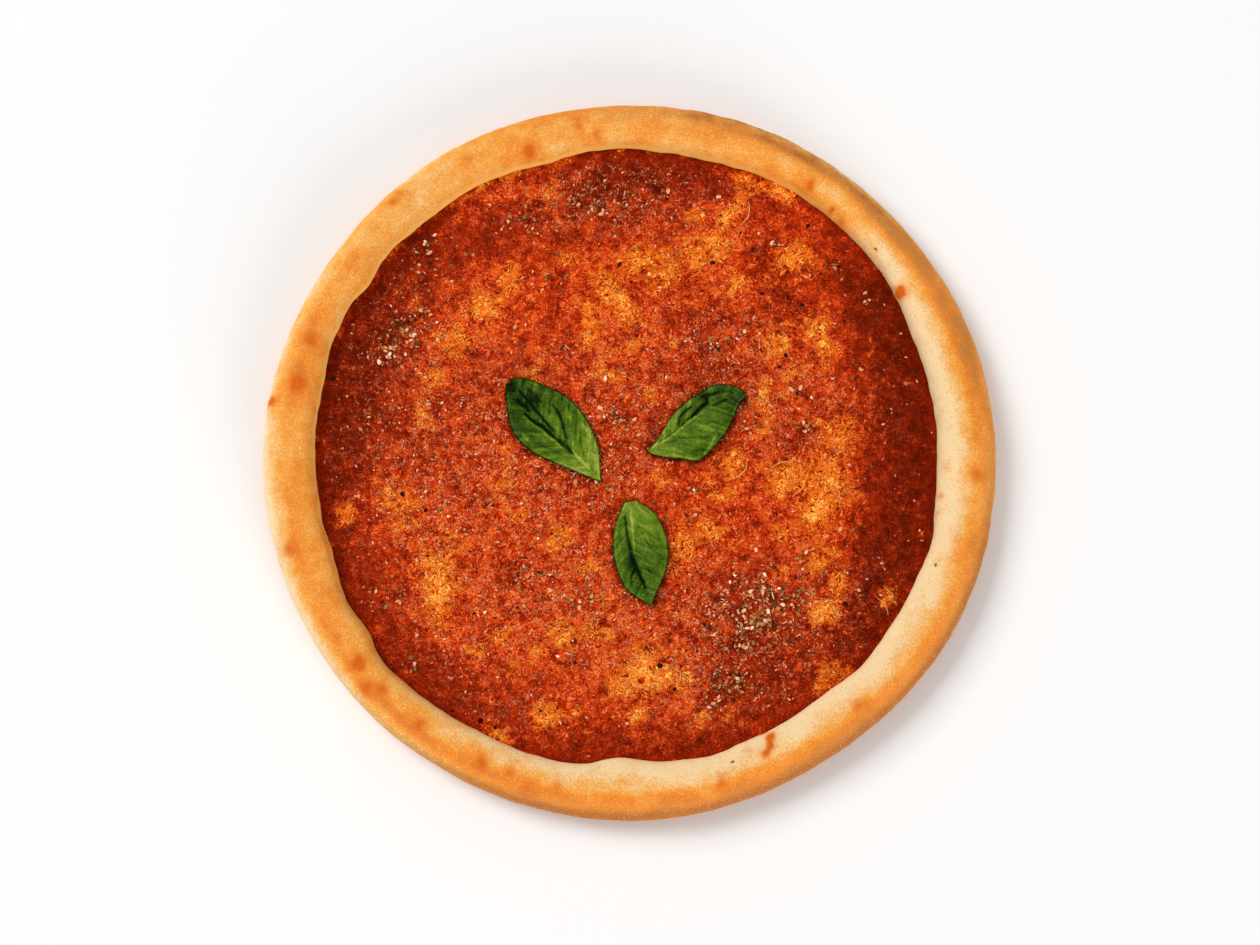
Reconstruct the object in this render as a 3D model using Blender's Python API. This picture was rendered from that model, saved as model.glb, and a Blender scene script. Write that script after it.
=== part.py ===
"""Margherita pizza, about 310 mm across, as baked: a flat dough base with a puffed rim,
a bed of tomato sauce with melted cheese sunk in it and dried oregano on it, and three
basil leaves.

Units are metres and +Z is up. The flat underside lies on z = 0, and the origin is below
the middle of the pizza's outline. Angles are in degrees from +X towards +Y.
"""

import math
import random

import bmesh
import bpy
from mathutils import Matrix, Vector, noise

MM = 0.001

# Dough: the base, and the rim that stands round it
BASE_THICKNESS = 5.0 * MM
RIM_HEIGHT = 18.5 * MM          # crown of the rim above the underside, on average
RIM_WAIST = 8.5 * MM            # height at which the rim is widest
EDGE_ROUND = 6.5 * MM           # how far the underside's edge lies inside the outline
UNDER_BULGE = 0.75              # powers that plump a quarter round: 1 is an ellipse
OUTER_BULGE = 0.95
INNER_BULGE = 0.72
SEGMENTS = 96                   # faces round the rim
UNDER_STEPS = 4                 # faces from the underside up to the waist
OVER_STEPS = 9                  # faces from the waist over the crown to the sauce

# Outline of the whole pizza: a circle with (waves round it, height, direction of a crest)
OUTER_RADIUS = 154.24 * MM
OUTER_WAVES = (
    (2, 0.65 * MM, 3),
    (3, 0.35 * MM, -14),
    (4, 0.35 * MM, -6),
    (5, 0.24 * MM, -22),
    (7, 0.32 * MM, 19),
)

# The toppings were laid a little off the middle of the dough
OFF_X = 0.8 * MM
OFF_Y = -0.35 * MM

# Outline of the sauce
SAUCE_RADIUS = 132.85 * MM
SAUCE_WAVES = (
    (1, 2.27 * MM, 136.6),
    (2, 0.36 * MM, 37),
    (4, 0.96 * MM, -37),
    (6, 0.66 * MM, -23),
)
# Places where the rim pushes in (-) or the sauce pushes out (+): direction, reach, half width
SAUCE_DENTS = (
    (145.5, -2.3 * MM, 3.0),
    (199, -1.5 * MM, 3.5),
    (214, -2.3 * MM, 2.6),
    (268, -3.2 * MM, 5.0),
    (106, -1.4 * MM, 4.0),
    (167, -1.5 * MM, 3.2),
    (24, -0.8 * MM, 2.5),
    (8, 1.1 * MM, 9.0),
    (37, 0.5 * MM, 5.0),
    (60, 1.5 * MM, 12.0),
    (93, 1.0 * MM, 6.0),
    (120, 1.0 * MM, 7.0),
    (140.5, 0.8 * MM, 2.5),
    (222, 0.9 * MM, 5.0),
    (253, 1.6 * MM, 7.0),
    (261.5, 1.5 * MM, 3.5),
    (286, 1.5 * MM, 5.0),
    (299, 0.9 * MM, 4.0),
    (317, 1.4 * MM, 5.0),
    (344, 1.6 * MM, 4.0),
)

# Puffs along the rim's crown: the same form as the outline's waves
RIM_WAVES = (
    (2, 0.5 * MM, 200),
    (3, 0.4 * MM, 40),
    (5, 0.45 * MM, 75),
    (8, 0.4 * MM, 10),
    (13, 0.3 * MM, 31),
)
PUFF_DEPTH = 0.7 * MM           # uneven lumps on the rim's skin
PUFF_SPACING = 17 * MM

# Sauce
GAP = 0.35 * MM                 # clearance between neighbours
SAUCE_TOP = 7.7 * MM            # mean height of the sauce's surface
SAUCE_RINGS = 12
SAUCE_SWELL = 0.35 * MM         # slow rise and fall of the sauce
SAUCE_SPACING = 26 * MM

# Melted cheese: (x, y, length, width, direction of the length)
CHEESE_POOLS = (
    (5 * MM, -92 * MM, 19 * MM, 17 * MM, 40),
    (-81 * MM, -55 * MM, 25 * MM, 14 * MM, 98),
    (88 * MM, -55 * MM, 10 * MM, 8 * MM, 80),
    (78 * MM, -42 * MM, 13 * MM, 9 * MM, 55),
    (65 * MM, -9 * MM, 16 * MM, 13 * MM, 15),
    (43 * MM, -3 * MM, 13 * MM, 11 * MM, 60),
    (84 * MM, -18 * MM, 21 * MM, 14 * MM, 75),
    (88 * MM, 11 * MM, 18 * MM, 12 * MM, 95),
    (45 * MM, 107 * MM, 17 * MM, 10 * MM, 75),
    (34 * MM, 88 * MM, 15 * MM, 11 * MM, 35),
    (10 * MM, 84 * MM, 20 * MM, 16 * MM, 150),
    (-8 * MM, 66 * MM, 19 * MM, 9 * MM, 125),
    (-63 * MM, 66 * MM, 14 * MM, 10 * MM, 20),
    (-35 * MM, -110 * MM, 14 * MM, 11 * MM, 10),
    (81 * MM, -66 * MM, 12 * MM, 8 * MM, 20),
)
POOL_DEPTH = 1.2 * MM           # how far a pool reaches down into the sauce
POOL_RISE = 0.55 * MM           # how far its middle stands above the sauce round it
POOL_SEGMENTS = 16
POOL_RINGS = 3

# Dried oregano: (x, y, spread, flakes) where it fell thickest
OREGANO_HEAPS = (
    (-97 * MM, 51 * MM, 11 * MM, 13),
    (-88 * MM, 84 * MM, 12 * MM, 3),
    (-15 * MM, 111 * MM, 12 * MM, 3),
    (-28 * MM, 47 * MM, 6 * MM, 2),
    (-38 * MM, -53 * MM, 14 * MM, 3),
    (50 * MM, -62 * MM, 15 * MM, 14),
    (40 * MM, -75 * MM, 12 * MM, 5),
    (38 * MM, -98 * MM, 10 * MM, 5),
    (72 * MM, 12 * MM, 5 * MM, 2),
    (-100 * MM, -56 * MM, 7 * MM, 2),
)
OREGANO_SEED = 11
FLAKE_LENGTH = (2.0 * MM, 3.6 * MM)
FLAKE_WIDTH = (1.1 * MM, 1.8 * MM)
FLAKE_THICKNESS = 0.9 * MM
FLAKE_RISE = 0.15 * MM          # middle of a flake above the sauce
FLAKE_SPACING = 3.9 * MM        # least distance between the middles of two flakes
FLAKE_MARGIN = 3.0 * MM         # least distance to a pool or a leaf

# Basil leaves
LEAF_THICKNESS = 0.6 * MM
LEAF_LIFT = 8.75 * MM           # lowest underside of a leaf above the pizza's underside
LEAF_STEPS = 16                 # faces from stem to tip
LEAF_LANES = 8                  # faces from edge to edge
LEAF_QUILT = 1.3 * MM           # rise of each half between midrib and edge
LEAF_WAVE = 0.7 * MM            # rise and fall of the edge
LEAF_WAVES = 5                  # half waves of the edge from stem to tip
LEAF_REACH = 15 * MM            # no leaf reaches further than this from its middle line
# A leaf's stem end and tip; how far its left edge, midrib and right edge lie to the right of
# the line between them, in mm, at stations that crowd together at both ends; and how far its
# tip curls up
LEAVES = (
    {"stem": (-13.0 * MM, -10.7 * MM), "tip": (-52.4 * MM, 31.5 * MM), "curl": 1.6 * MM,
     "left": (-0.3, -0.9, -3.0, -6.0, -9.5, -12.8, -13.6, -10.7, -6.1, -2.8, -0.8),
     "rib": (0, 0, -0.3, -0.7, -1.0, -1.5, -1.5, -1.0, -0.3, 0.3, 0.2),
     "right": (0.3, 1.3, 4.6, 9.4, 12.8, 14.5, 13.8, 10.9, 7.7, 4.4, 1.2)},
    {"stem": (6.9 * MM, 2.5 * MM), "tip": (48.7 * MM, 26.0 * MM), "curl": 2.4 * MM,
     "left": (-0.4, -0.6, -1.5, -4.1, -8.2, -10.1, -10.6, -10.8, -7.7, -3.9, -0.6),
     "rib": (0, 0.3, 0.4, -0.6, -1.8, -3.9, -5.2, -4.6, -2.6, -1.0, 0),
     "right": (0.4, 2.7, 6.0, 9.9, 14.4, 13.3, 10.5, 6.2, 2.0, 1.1, 0.6)},
    {"stem": (0.1 * MM, -19.5 * MM), "tip": (8.3 * MM, -63.9 * MM), "curl": 1.9 * MM,
     "left": (-2.8, -3.3, -6.6, -9.8, -11.6, -11.7, -9.9, -6.3, -3.0, -1.1, -0.3),
     "rib": (0, 0.8, 2.4, 4.0, 4.3, 4.2, 3.2, 1.5, 0.4, 0.2, 0),
     "right": (3.0, 4.0, 6.2, 9.0, 11.0, 11.8, 11.2, 9.4, 5.3, 2.2, 0.4)},
)


def clear_scene():
    for thing in list(bpy.data.objects):
        bpy.data.objects.remove(thing, do_unlink=True)


def new_material(name, colour, roughness):
    material = bpy.data.materials.new(name)
    material.use_nodes = True
    shader = material.node_tree.nodes["Principled BSDF"]
    shader.inputs["Base Color"].default_value = (*colour, 1)
    shader.inputs["Roughness"].default_value = roughness
    shader.inputs["Metallic"].default_value = 0
    return material


def new_object(name, bm, material):
    """Closes a bmesh into an object of the scene, smooth but for its sharp edges."""
    bmesh.ops.recalc_face_normals(bm, faces=bm.faces)
    mesh = bpy.data.meshes.new(name)
    bm.to_mesh(mesh)
    bm.free()
    mesh.shade_smooth()
    mesh.set_sharp_from_angle(angle=math.radians(50))
    mesh.materials.append(material)
    thing = bpy.data.objects.new(name, mesh)
    bpy.context.scene.collection.objects.link(thing)
    return thing


def waves(angle, crests):
    """Sum of cosine waves round the pizza, at an angle in degrees."""
    return sum(height * math.cos(count * math.radians(angle - crest)) for count, height, crest in crests)


def outer_radius(angle):
    return OUTER_RADIUS + waves(angle, OUTER_WAVES)


def sauce_radius(angle):
    """Where the rim's inner foot stands, and the sauce ends."""
    radius = SAUCE_RADIUS + waves(angle, SAUCE_WAVES)
    for direction, reach, half_width in SAUCE_DENTS:
        away = (angle - direction + 180) % 360 - 180
        radius += reach * math.exp(-((away / half_width) ** 2))
    return radius


def rough(x, y, z, spacing):
    """Smooth noise from -1 to 1 whose lumps are about one spacing apart."""
    return noise.noise(Vector((x, y, z)) / spacing)


def ring(bm, points):
    return [bm.verts.new(point) for point in points]


def bridge(bm, low, high):
    """Faces between two rings with the same number of vertices."""
    count = len(low)
    for here in range(count):
        after = (here + 1) % count
        bm.faces.new((low[here], low[after], high[after], high[here]))


def fan(bm, loop, centre):
    """Triangles from a ring to a point at its middle."""
    middle = bm.verts.new(centre)
    for here, vertex in enumerate(loop):
        bm.faces.new((vertex, loop[(here + 1) % len(loop)], middle))


def rim_section(angle):
    """Radius and height pairs, from the underside's edge over the crown to the inner foot."""
    outer = outer_radius(angle)
    inner = sauce_radius(angle)
    middle = (outer + inner) / 2
    half = (outer - inner) / 2
    rise = RIM_HEIGHT + waves(angle, RIM_WAVES) - RIM_WAIST
    section = []
    for step in range(UNDER_STEPS):
        turn = math.pi / 2 * step / UNDER_STEPS
        inset = EDGE_ROUND * (1 - math.sin(turn) ** UNDER_BULGE)
        section.append((outer - inset, RIM_WAIST * (1 - math.cos(turn) ** UNDER_BULGE)))
    for step in range(OVER_STEPS + 1):
        turn = math.pi * step / OVER_STEPS
        across = math.cos(turn)
        bulge = OUTER_BULGE if across > 0 else INNER_BULGE
        radius = middle + half * math.copysign(abs(across) ** bulge, across)
        section.append((radius, RIM_WAIST + rise * abs(math.sin(turn)) ** bulge))
    section.append((inner, BASE_THICKNESS))
    return section


def make_crust():
    """Base and rim in one piece of dough."""
    bm = bmesh.new()
    angles = [360 * k / SEGMENTS for k in range(SEGMENTS)]
    sections = [rim_section(angle) for angle in angles]
    last = len(sections[0]) - 1
    loops = []
    for level in range(last + 1):
        points = []
        for angle, section in zip(angles, sections):
            radius, height = section[level]
            turn = math.radians(angle)
            x = radius * math.cos(turn)
            y = radius * math.sin(turn)
            if UNDER_STEPS < level < last - 1:
                height += PUFF_DEPTH * rough(x, y, height, PUFF_SPACING)
            points.append((x, y, height))
        loops.append(ring(bm, points))
    for low, high in zip(loops, loops[1:]):
        bridge(bm, low, high)
    fan(bm, loops[0], (0, 0, 0))
    fan(bm, loops[-1], (0, 0, BASE_THICKNESS))
    return new_object("crust", bm, new_material("baked_dough", (0.80, 0.46, 0.18), 0.75))


def sauce_height(x, y):
    return SAUCE_TOP + SAUCE_SWELL * rough(x, y, 0, SAUCE_SPACING)


def make_sauce_bed():
    """Sauce from just above the base to its uneven surface, before anything lies in it."""
    bm = bmesh.new()
    angles = [math.radians(360 * k / SEGMENTS) for k in range(SEGMENTS)]
    reach = [sauce_radius(math.degrees(angle)) - GAP for angle in angles]
    floor = BASE_THICKNESS + GAP
    foot = ring(bm, [(r * math.cos(a), r * math.sin(a), floor) for r, a in zip(reach, angles)])
    fan(bm, foot, (0, 0, floor))
    loops = [foot]
    for step in range(SAUCE_RINGS, 0, -1):
        part = step / SAUCE_RINGS
        points = []
        for radius, angle in zip(reach, angles):
            x = part * radius * math.cos(angle)
            y = part * radius * math.sin(angle)
            points.append((x, y, sauce_height(x, y)))
        loops.append(ring(bm, points))
    for low, high in zip(loops, loops[1:]):
        bridge(bm, low, high)
    fan(bm, loops[-1], (0, 0, sauce_height(0, 0)))
    return new_object("sauce", bm, new_material("tomato_sauce", (0.42, 0.04, 0.01), 0.45))


def pool_middle(pool):
    return pool[0] + OFF_X, pool[1] + OFF_Y


def pool_outline(number, pool, grow):
    """Uneven oval of one melted pool, grown by a clearance, as x, y pairs."""
    length, width, direction = pool[2:]
    x, y = pool_middle(pool)
    turn = Matrix.Rotation(math.radians(direction), 2)
    outline = []
    for k in range(POOL_SEGMENTS):
        angle = 2 * math.pi * k / POOL_SEGMENTS
        lobe = 1 + 0.09 * math.cos(3 * angle + number) + 0.06 * math.cos(5 * angle + 2 * number)
        across = Vector(((length / 2 * lobe + grow) * math.cos(angle), (width / 2 * lobe + grow) * math.sin(angle)))
        across = turn @ across
        outline.append((x + across.x, y + across.y))
    return outline


def make_pool_cutter(number, pool):
    """The hollow in the sauce that a pool fills, open at the top."""
    x, y = pool_middle(pool)
    bm = bmesh.new()
    outline = pool_outline(number, pool, GAP)
    floor = SAUCE_TOP - POOL_DEPTH - GAP
    foot = ring(bm, [(px, py, floor) for px, py in outline])
    lid = ring(bm, [(px, py, RIM_WAIST + POOL_DEPTH) for px, py in outline])
    bridge(bm, foot, lid)
    fan(bm, foot, (x, y, floor))
    fan(bm, lid, (x, y, RIM_WAIST + POOL_DEPTH))
    return new_object(f"hollow_{number:02d}", bm, bpy.data.materials["tomato_sauce"])


def make_pool(number, pool, material):
    """A pool of melted cheese: flat below, domed and a little wrinkled above."""
    x, y = pool_middle(pool)
    bm = bmesh.new()
    outline = pool_outline(number, pool, 0)
    floor = SAUCE_TOP - POOL_DEPTH
    foot = ring(bm, [(px, py, floor) for px, py in outline])
    fan(bm, foot, (x, y, floor))
    loops = [foot]
    for step in range(POOL_RINGS, 0, -1):
        part = step / POOL_RINGS
        rise = POOL_RISE * (1 - part ** 2)
        points = []
        for px, py in outline:
            here = (x + part * (px - x), y + part * (py - y))
            points.append((*here, sauce_height(*here) + rise))
        loops.append(ring(bm, points))
    for low, high in zip(loops, loops[1:]):
        bridge(bm, low, high)
    fan(bm, loops[-1], (x, y, sauce_height(x, y) + POOL_RISE))
    return new_object(f"cheese_{number:02d}", bm, material)


def leaf_frame(leaf):
    """Stem end, unit vector to the tip, unit vector to its right, and length."""
    stem = Vector(leaf["stem"]) + Vector((OFF_X, OFF_Y))
    along = Vector(leaf["tip"]) - Vector(leaf["stem"])
    length = along.length
    along.normalize()
    return stem, along, Vector((along.y, -along.x)), length


def between(stations, place):
    """Smooth value at a place from 0 to 1 along evenly spaced stations."""
    span = place * (len(stations) - 1)
    first = min(int(span), len(stations) - 2)
    part = span - first
    low = stations[first]
    high = stations[first + 1]
    before = stations[first - 1] if first else 2 * low - high
    after = stations[first + 2] if first + 2 < len(stations) else 2 * high - low
    bend = 2 * before - 5 * low + 4 * high - after
    twist = 3 * low - before - 3 * high + after
    return low + part / 2 * (high - before + part * (bend + part * twist))


def leaf_point(leaf, station, side):
    """Point on a leaf's underside: station runs from stem to tip, side from -1 to 1."""
    stem, along, right, length = leaf_frame(leaf)
    part = (1 - math.cos(math.pi * station)) / 2
    rib = between(leaf["rib"], station)
    edge = between(leaf["right" if side > 0 else "left"], station)
    across = (rib + abs(side) * (edge - rib)) * MM
    place = stem + along * (length * part) + right * across
    quilt = LEAF_QUILT * 4 * abs(side) * (1 - abs(side)) * math.sin(math.pi * part)
    wave = LEAF_WAVE * side ** 2 * (1 + math.cos(math.pi * (LEAF_WAVES * part + side)))
    height = LEAF_LIFT + quilt + wave + leaf["curl"] * part ** 4
    return Vector((place.x, place.y, height))


def make_leaf(number, leaf, material):
    """A thin wavy leaf whose two faces are split into triangles alike."""
    bm = bmesh.new()
    faces = []
    for lift in (0, LEAF_THICKNESS):
        grid = []
        for step in range(LEAF_STEPS + 1):
            station = step / LEAF_STEPS
            sides = [2 * lane / LEAF_LANES - 1 for lane in range(LEAF_LANES + 1)]
            grid.append([bm.verts.new(leaf_point(leaf, station, side) + Vector((0, 0, lift))) for side in sides])
        for near, far in zip(grid, grid[1:]):
            for lane in range(LEAF_LANES):
                corners = (near[lane], near[lane + 1], far[lane + 1], far[lane])
                bm.faces.new((corners[0], corners[1], corners[2]))
                bm.faces.new((corners[0], corners[2], corners[3]))
        faces.append(grid)
    below, above = faces
    rim_below = below[0] + [row[-1] for row in below[1:]] + below[-1][-2::-1] + [row[0] for row in below[-2:0:-1]]
    rim_above = above[0] + [row[-1] for row in above[1:]] + above[-1][-2::-1] + [row[0] for row in above[-2:0:-1]]
    bridge(bm, rim_below, rim_above)
    return new_object(f"basil_leaf_{number}", bm, material)


def taken(x, y):
    """Whether a flake at this place would touch a cheese pool or a leaf."""
    for pool in CHEESE_POOLS:
        if math.dist((x, y), pool_middle(pool)) < max(pool[2:4]) / 2 * 1.1 + FLAKE_MARGIN:
            return True
    for leaf in LEAVES:
        stem, along, right, length = leaf_frame(leaf)
        away = Vector((x, y)) - stem
        part = away.dot(along) / length
        beside = abs(away.dot(right))
        if -0.1 < part < 1.1 and beside < LEAF_REACH + FLAKE_MARGIN:
            return True
    return False


def oregano_places(draw):
    """Where the larger flakes lie: in loose heaps, apart from each other."""
    places = []
    for x, y, spread, count in OREGANO_HEAPS:
        placed = 0
        for attempt in range(count * 40):
            if placed == count:
                break
            angle = draw.uniform(0, 2 * math.pi)
            reach = spread * math.sqrt(draw.random())
            here = (x + OFF_X + reach * math.cos(angle), y + OFF_Y + reach * math.sin(angle))
            apart = all(math.dist(here, there) > FLAKE_SPACING for there in places)
            if apart and not taken(*here):
                places.append(here)
                placed += 1
    return places


def make_flake(number, place, draw):
    """One crumpled flake, half sunk in the sauce."""
    bm = bmesh.new()
    bmesh.ops.create_icosphere(bm, subdivisions=1, radius=0.5)
    size = (draw.uniform(*FLAKE_LENGTH), draw.uniform(*FLAKE_WIDTH), FLAKE_THICKNESS)
    for vertex in bm.verts:
        vertex.co = Vector([part * side * draw.uniform(0.8, 1.15) for part, side in zip(vertex.co, size)])
    turn = Matrix.Rotation(draw.uniform(0, 2 * math.pi), 4, "Z")
    lean = Matrix.Rotation(math.radians(draw.uniform(-12, 12)), 4, "Y")
    centre = Vector((*place, sauce_height(*place) + FLAKE_RISE))
    bm.transform(Matrix.Translation(centre) @ turn @ lean)
    return new_object(f"flake_{number:02d}", bm, bpy.data.materials["tomato_sauce"])


def combine(target, operation, pieces):
    """One Boolean between an object and a collection of pieces, which are used up."""
    group = bpy.data.collections.new(operation.lower())
    bpy.context.scene.collection.children.link(group)
    for piece in pieces:
        group.objects.link(piece)
    boolean = target.modifiers.new(operation.lower(), "BOOLEAN")
    boolean.operation = operation
    boolean.operand_type = "COLLECTION"
    boolean.collection = group
    boolean.solver = "EXACT"
    with bpy.context.temp_override(object=target, active_object=target):
        bpy.ops.object.modifier_apply(modifier=boolean.name)
    for piece in pieces:
        bpy.data.objects.remove(piece, do_unlink=True)
    bpy.data.collections.remove(group)


def main():
    clear_scene()
    make_crust()
    sauce = make_sauce_bed()
    pools = list(enumerate(CHEESE_POOLS, 1))
    combine(sauce, "DIFFERENCE", [make_pool_cutter(number, pool) for number, pool in pools])
    draw = random.Random(OREGANO_SEED)
    places = oregano_places(draw)
    combine(sauce, "UNION", [make_flake(number, place, draw) for number, place in enumerate(places)])
    cheese = new_material("melted_cheese", (0.80, 0.36, 0.07), 0.4)
    for number, pool in pools:
        make_pool(number, pool, cheese)
    basil = new_material("basil_leaf", (0.03, 0.12, 0.02), 0.45)
    for number, leaf in enumerate(LEAVES, 1):
        make_leaf(number, leaf, basil)


main()
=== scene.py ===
import math
import random

import bpy
import numpy as np
from bpy.props import FloatProperty, FloatVectorProperty, IntProperty, PointerProperty
from mathutils import Matrix, Vector, noise
from mathutils.bvhtree import BVHTree


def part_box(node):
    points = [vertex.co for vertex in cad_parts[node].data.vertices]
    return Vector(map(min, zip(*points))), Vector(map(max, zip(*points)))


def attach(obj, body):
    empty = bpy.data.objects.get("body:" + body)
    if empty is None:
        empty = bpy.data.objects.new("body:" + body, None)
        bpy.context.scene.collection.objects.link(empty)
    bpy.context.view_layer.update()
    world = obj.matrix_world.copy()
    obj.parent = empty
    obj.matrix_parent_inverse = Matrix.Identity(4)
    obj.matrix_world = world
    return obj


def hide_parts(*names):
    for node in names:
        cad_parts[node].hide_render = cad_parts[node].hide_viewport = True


bl_info = {
    "name": "Margherita Pizza",
    "version": (1, 0, 0),
    "blender": (4, 5, 0),
    "location": "3D View > Sidebar > Pizza",
    "description": "Baked crust, tomato sauce, melted cheese, oregano and basil of one pizza",
    "category": "Object",
}

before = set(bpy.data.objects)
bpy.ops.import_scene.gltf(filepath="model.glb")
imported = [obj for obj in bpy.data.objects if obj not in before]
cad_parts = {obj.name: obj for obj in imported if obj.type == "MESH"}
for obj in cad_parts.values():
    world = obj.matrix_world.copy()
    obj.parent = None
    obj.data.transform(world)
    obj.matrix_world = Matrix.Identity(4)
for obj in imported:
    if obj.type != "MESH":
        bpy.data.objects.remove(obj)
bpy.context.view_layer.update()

MM = 0.001

# The dough's section, as the solids have it
BASE_TOP = 5.0 * MM
RIM_WAIST = 8.5 * MM
EDGE_ROUND = 6.5 * MM
UNDER_BULGE = 0.75
OUTER_BULGE = 0.95
INNER_BULGE = 0.72

# The sauce's surface, as the solids have it
SAUCE_TOP = 7.7 * MM
SAUCE_FLOOR = 5.35 * MM
SAUCE_SWELL = 0.35 * MM
SAUCE_SPACING = 26 * MM

# How finely the pieces are made
TURNS = 720                     # steps round the rim
HARMONICS = 46                  # waves kept when the frame's outlines are smoothed
SAUCE_RINGS = 164               # rings of the sauce's surface, about 0.8 mm apart
POOL_TURNS = 84
POOL_RINGS = 24
LEAF_STEPS = 150
LEAF_LANES = 64

# The toppings were laid a little off the middle of the dough, in mm; the places below are
# measured from their own middle
OFF_MIDDLE = (0.8, -0.35)

# Browned spots of the rim: direction in degrees, distance from the middle and radius in mm,
# and how brown
RIM_SPOTS = (
    (2.5, 145, 3.4, 0.5), (3.7, 153.7, 3.4, 0.3), (7.9, 131.7, 3, 0.35), (31.3, 133.9, 2.4, 1.4),
    (32.9, 132.7, 1.8, 0.7), (50.9, 135.9, 1.9, 1.1), (48.4, 134.2, 2.6, 0.8), (56.7, 138.8, 3, 1),
    (62.2, 132.3, 3.4, 0.5), (76.2, 139.2, 3.6, 0.45), (96.2, 139.5, 2.6, 0.8), (99, 147.3, 2.3, 0.8),
    (99, 144.3, 2.3, 0.8), (108.5, 138.3, 3.1, 1.3), (118.8, 146.5, 2.6, 0.4), (131.3, 150.9, 3, 0.75),
    (132.9, 149.5, 3, 0.8), (146.2, 142.1, 4.5, 0.3), (160.3, 144.1, 3.6, 1), (168.2, 143.8, 5, 1.15),
    (171.6, 154.2, 2.8, 1.2), (171.9, 134.8, 2, 0.6), (187.5, 145.8, 5, 0.35), (196, 148.6, 4.8, 0.85),
    (205.4, 142.8, 4.5, 0.3), (212.8, 145.8, 4, 0.55), (218.2, 144.6, 3.5, 1.35), (222, 148.6, 3.6, 1),
    (223.8, 144.4, 4.4, 0.9), (232.5, 144.3, 3.9, 0.9), (244.6, 144.5, 4, 0.95),
    (249.4, 144.5, 3.6, 0.8), (253.1, 148, 4.2, 0.75), (257.8, 144, 3.8, 0.7), (284.9, 144, 3.2, 0.8),
    (285.1, 141, 2.6, 0.6), (293.9, 137.8, 2.3, 1.1), (294.8, 135.8, 2.2, 1.45),
    (295.6, 133.2, 2.2, 1.45),
    (291.1, 133.5, 2.4, 0.5), (311.6, 142.4, 3.8, 0.75), (341.9, 143.1, 4, 0.4),
    (345.3, 140.8, 3.8, 0.4), (348.8, 131.3, 1.5, 0.6), (352.2, 131.6, 1.7, 0.7),
    (356.4, 145.6, 3.4, 0.8), (357.3, 133, 2.4, 0.5),
)
# Where the rim is browner, or paler: direction and spread in degrees, place across
# from 0 at the sauce to 1 at the outer edge and its spread, and the amount. Some rows are
# browning by the oven; the pale rows on the inner wall to the right and at the bottom, and on
# the outer edge to the left, are painted light where the rim faces the key light, and other
# rows darken the outer edge towards the lower right
RIM_BAKING_AND_PAINTED_LIGHT = (
    (-35, 72, 0.08, 0.32, -0.37), (15, 28, 0.12, 0.26, -0.26), (-85, 42, 0.98, 0.26, 0.42),
    (-40, 30, 0.98, 0.26, 0.30), (-92, 34, 0.66, 0.16, 0.20), (-38, 24, 0.64, 0.16, 0.12),
    (26, 18, 0.72, 0.26, 0.50), (0, 22, 0.80, 0.30, 0.14), (-90, 40, 0.10, 0.24, -0.16),
    (-40, 40, 0.36, 0.2, -0.08),
    (-140, 22, 0.62, 0.14, 0.24), (-150, 36, 1.00, 0.22, -0.26), (180, 38, 1.00, 0.20, -0.16),
    (180, 30, 0.45, 0.20, 0.14), (150, 60, 0.12, 0.24, 0.04), (-140, 50, 0.10, 0.20, 0.08),
    (95, 26, 0.46, 0.26, 0.14), (92, 22, 0.92, 0.20, 0.34), (54, 16, 0.12, 0.16, 0.16),
    (54, 18, 0.66, 0.18, 0.50), (155, 14, 0.50, 0.20, 0.12), (50, 14, 0.95, 0.12, -0.16),
)
# Darker streaks of the toasted arc, in the same terms
TOAST_STREAKS = (
    (62, 9, 0.61, 0.07, 0.5), (70, 13, 0.82, 0.10, 0.4), (48, 10, 0.68, 0.08, 0.3),
    (80, 8, 0.68, 0.08, 0.3),
)
# Bits of oregano that lie on the rim: direction in degrees and distance from the middle in mm
STRAYS = ((40.3, 136.6), (339.5, 136), (287.8, 136.6))

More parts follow.
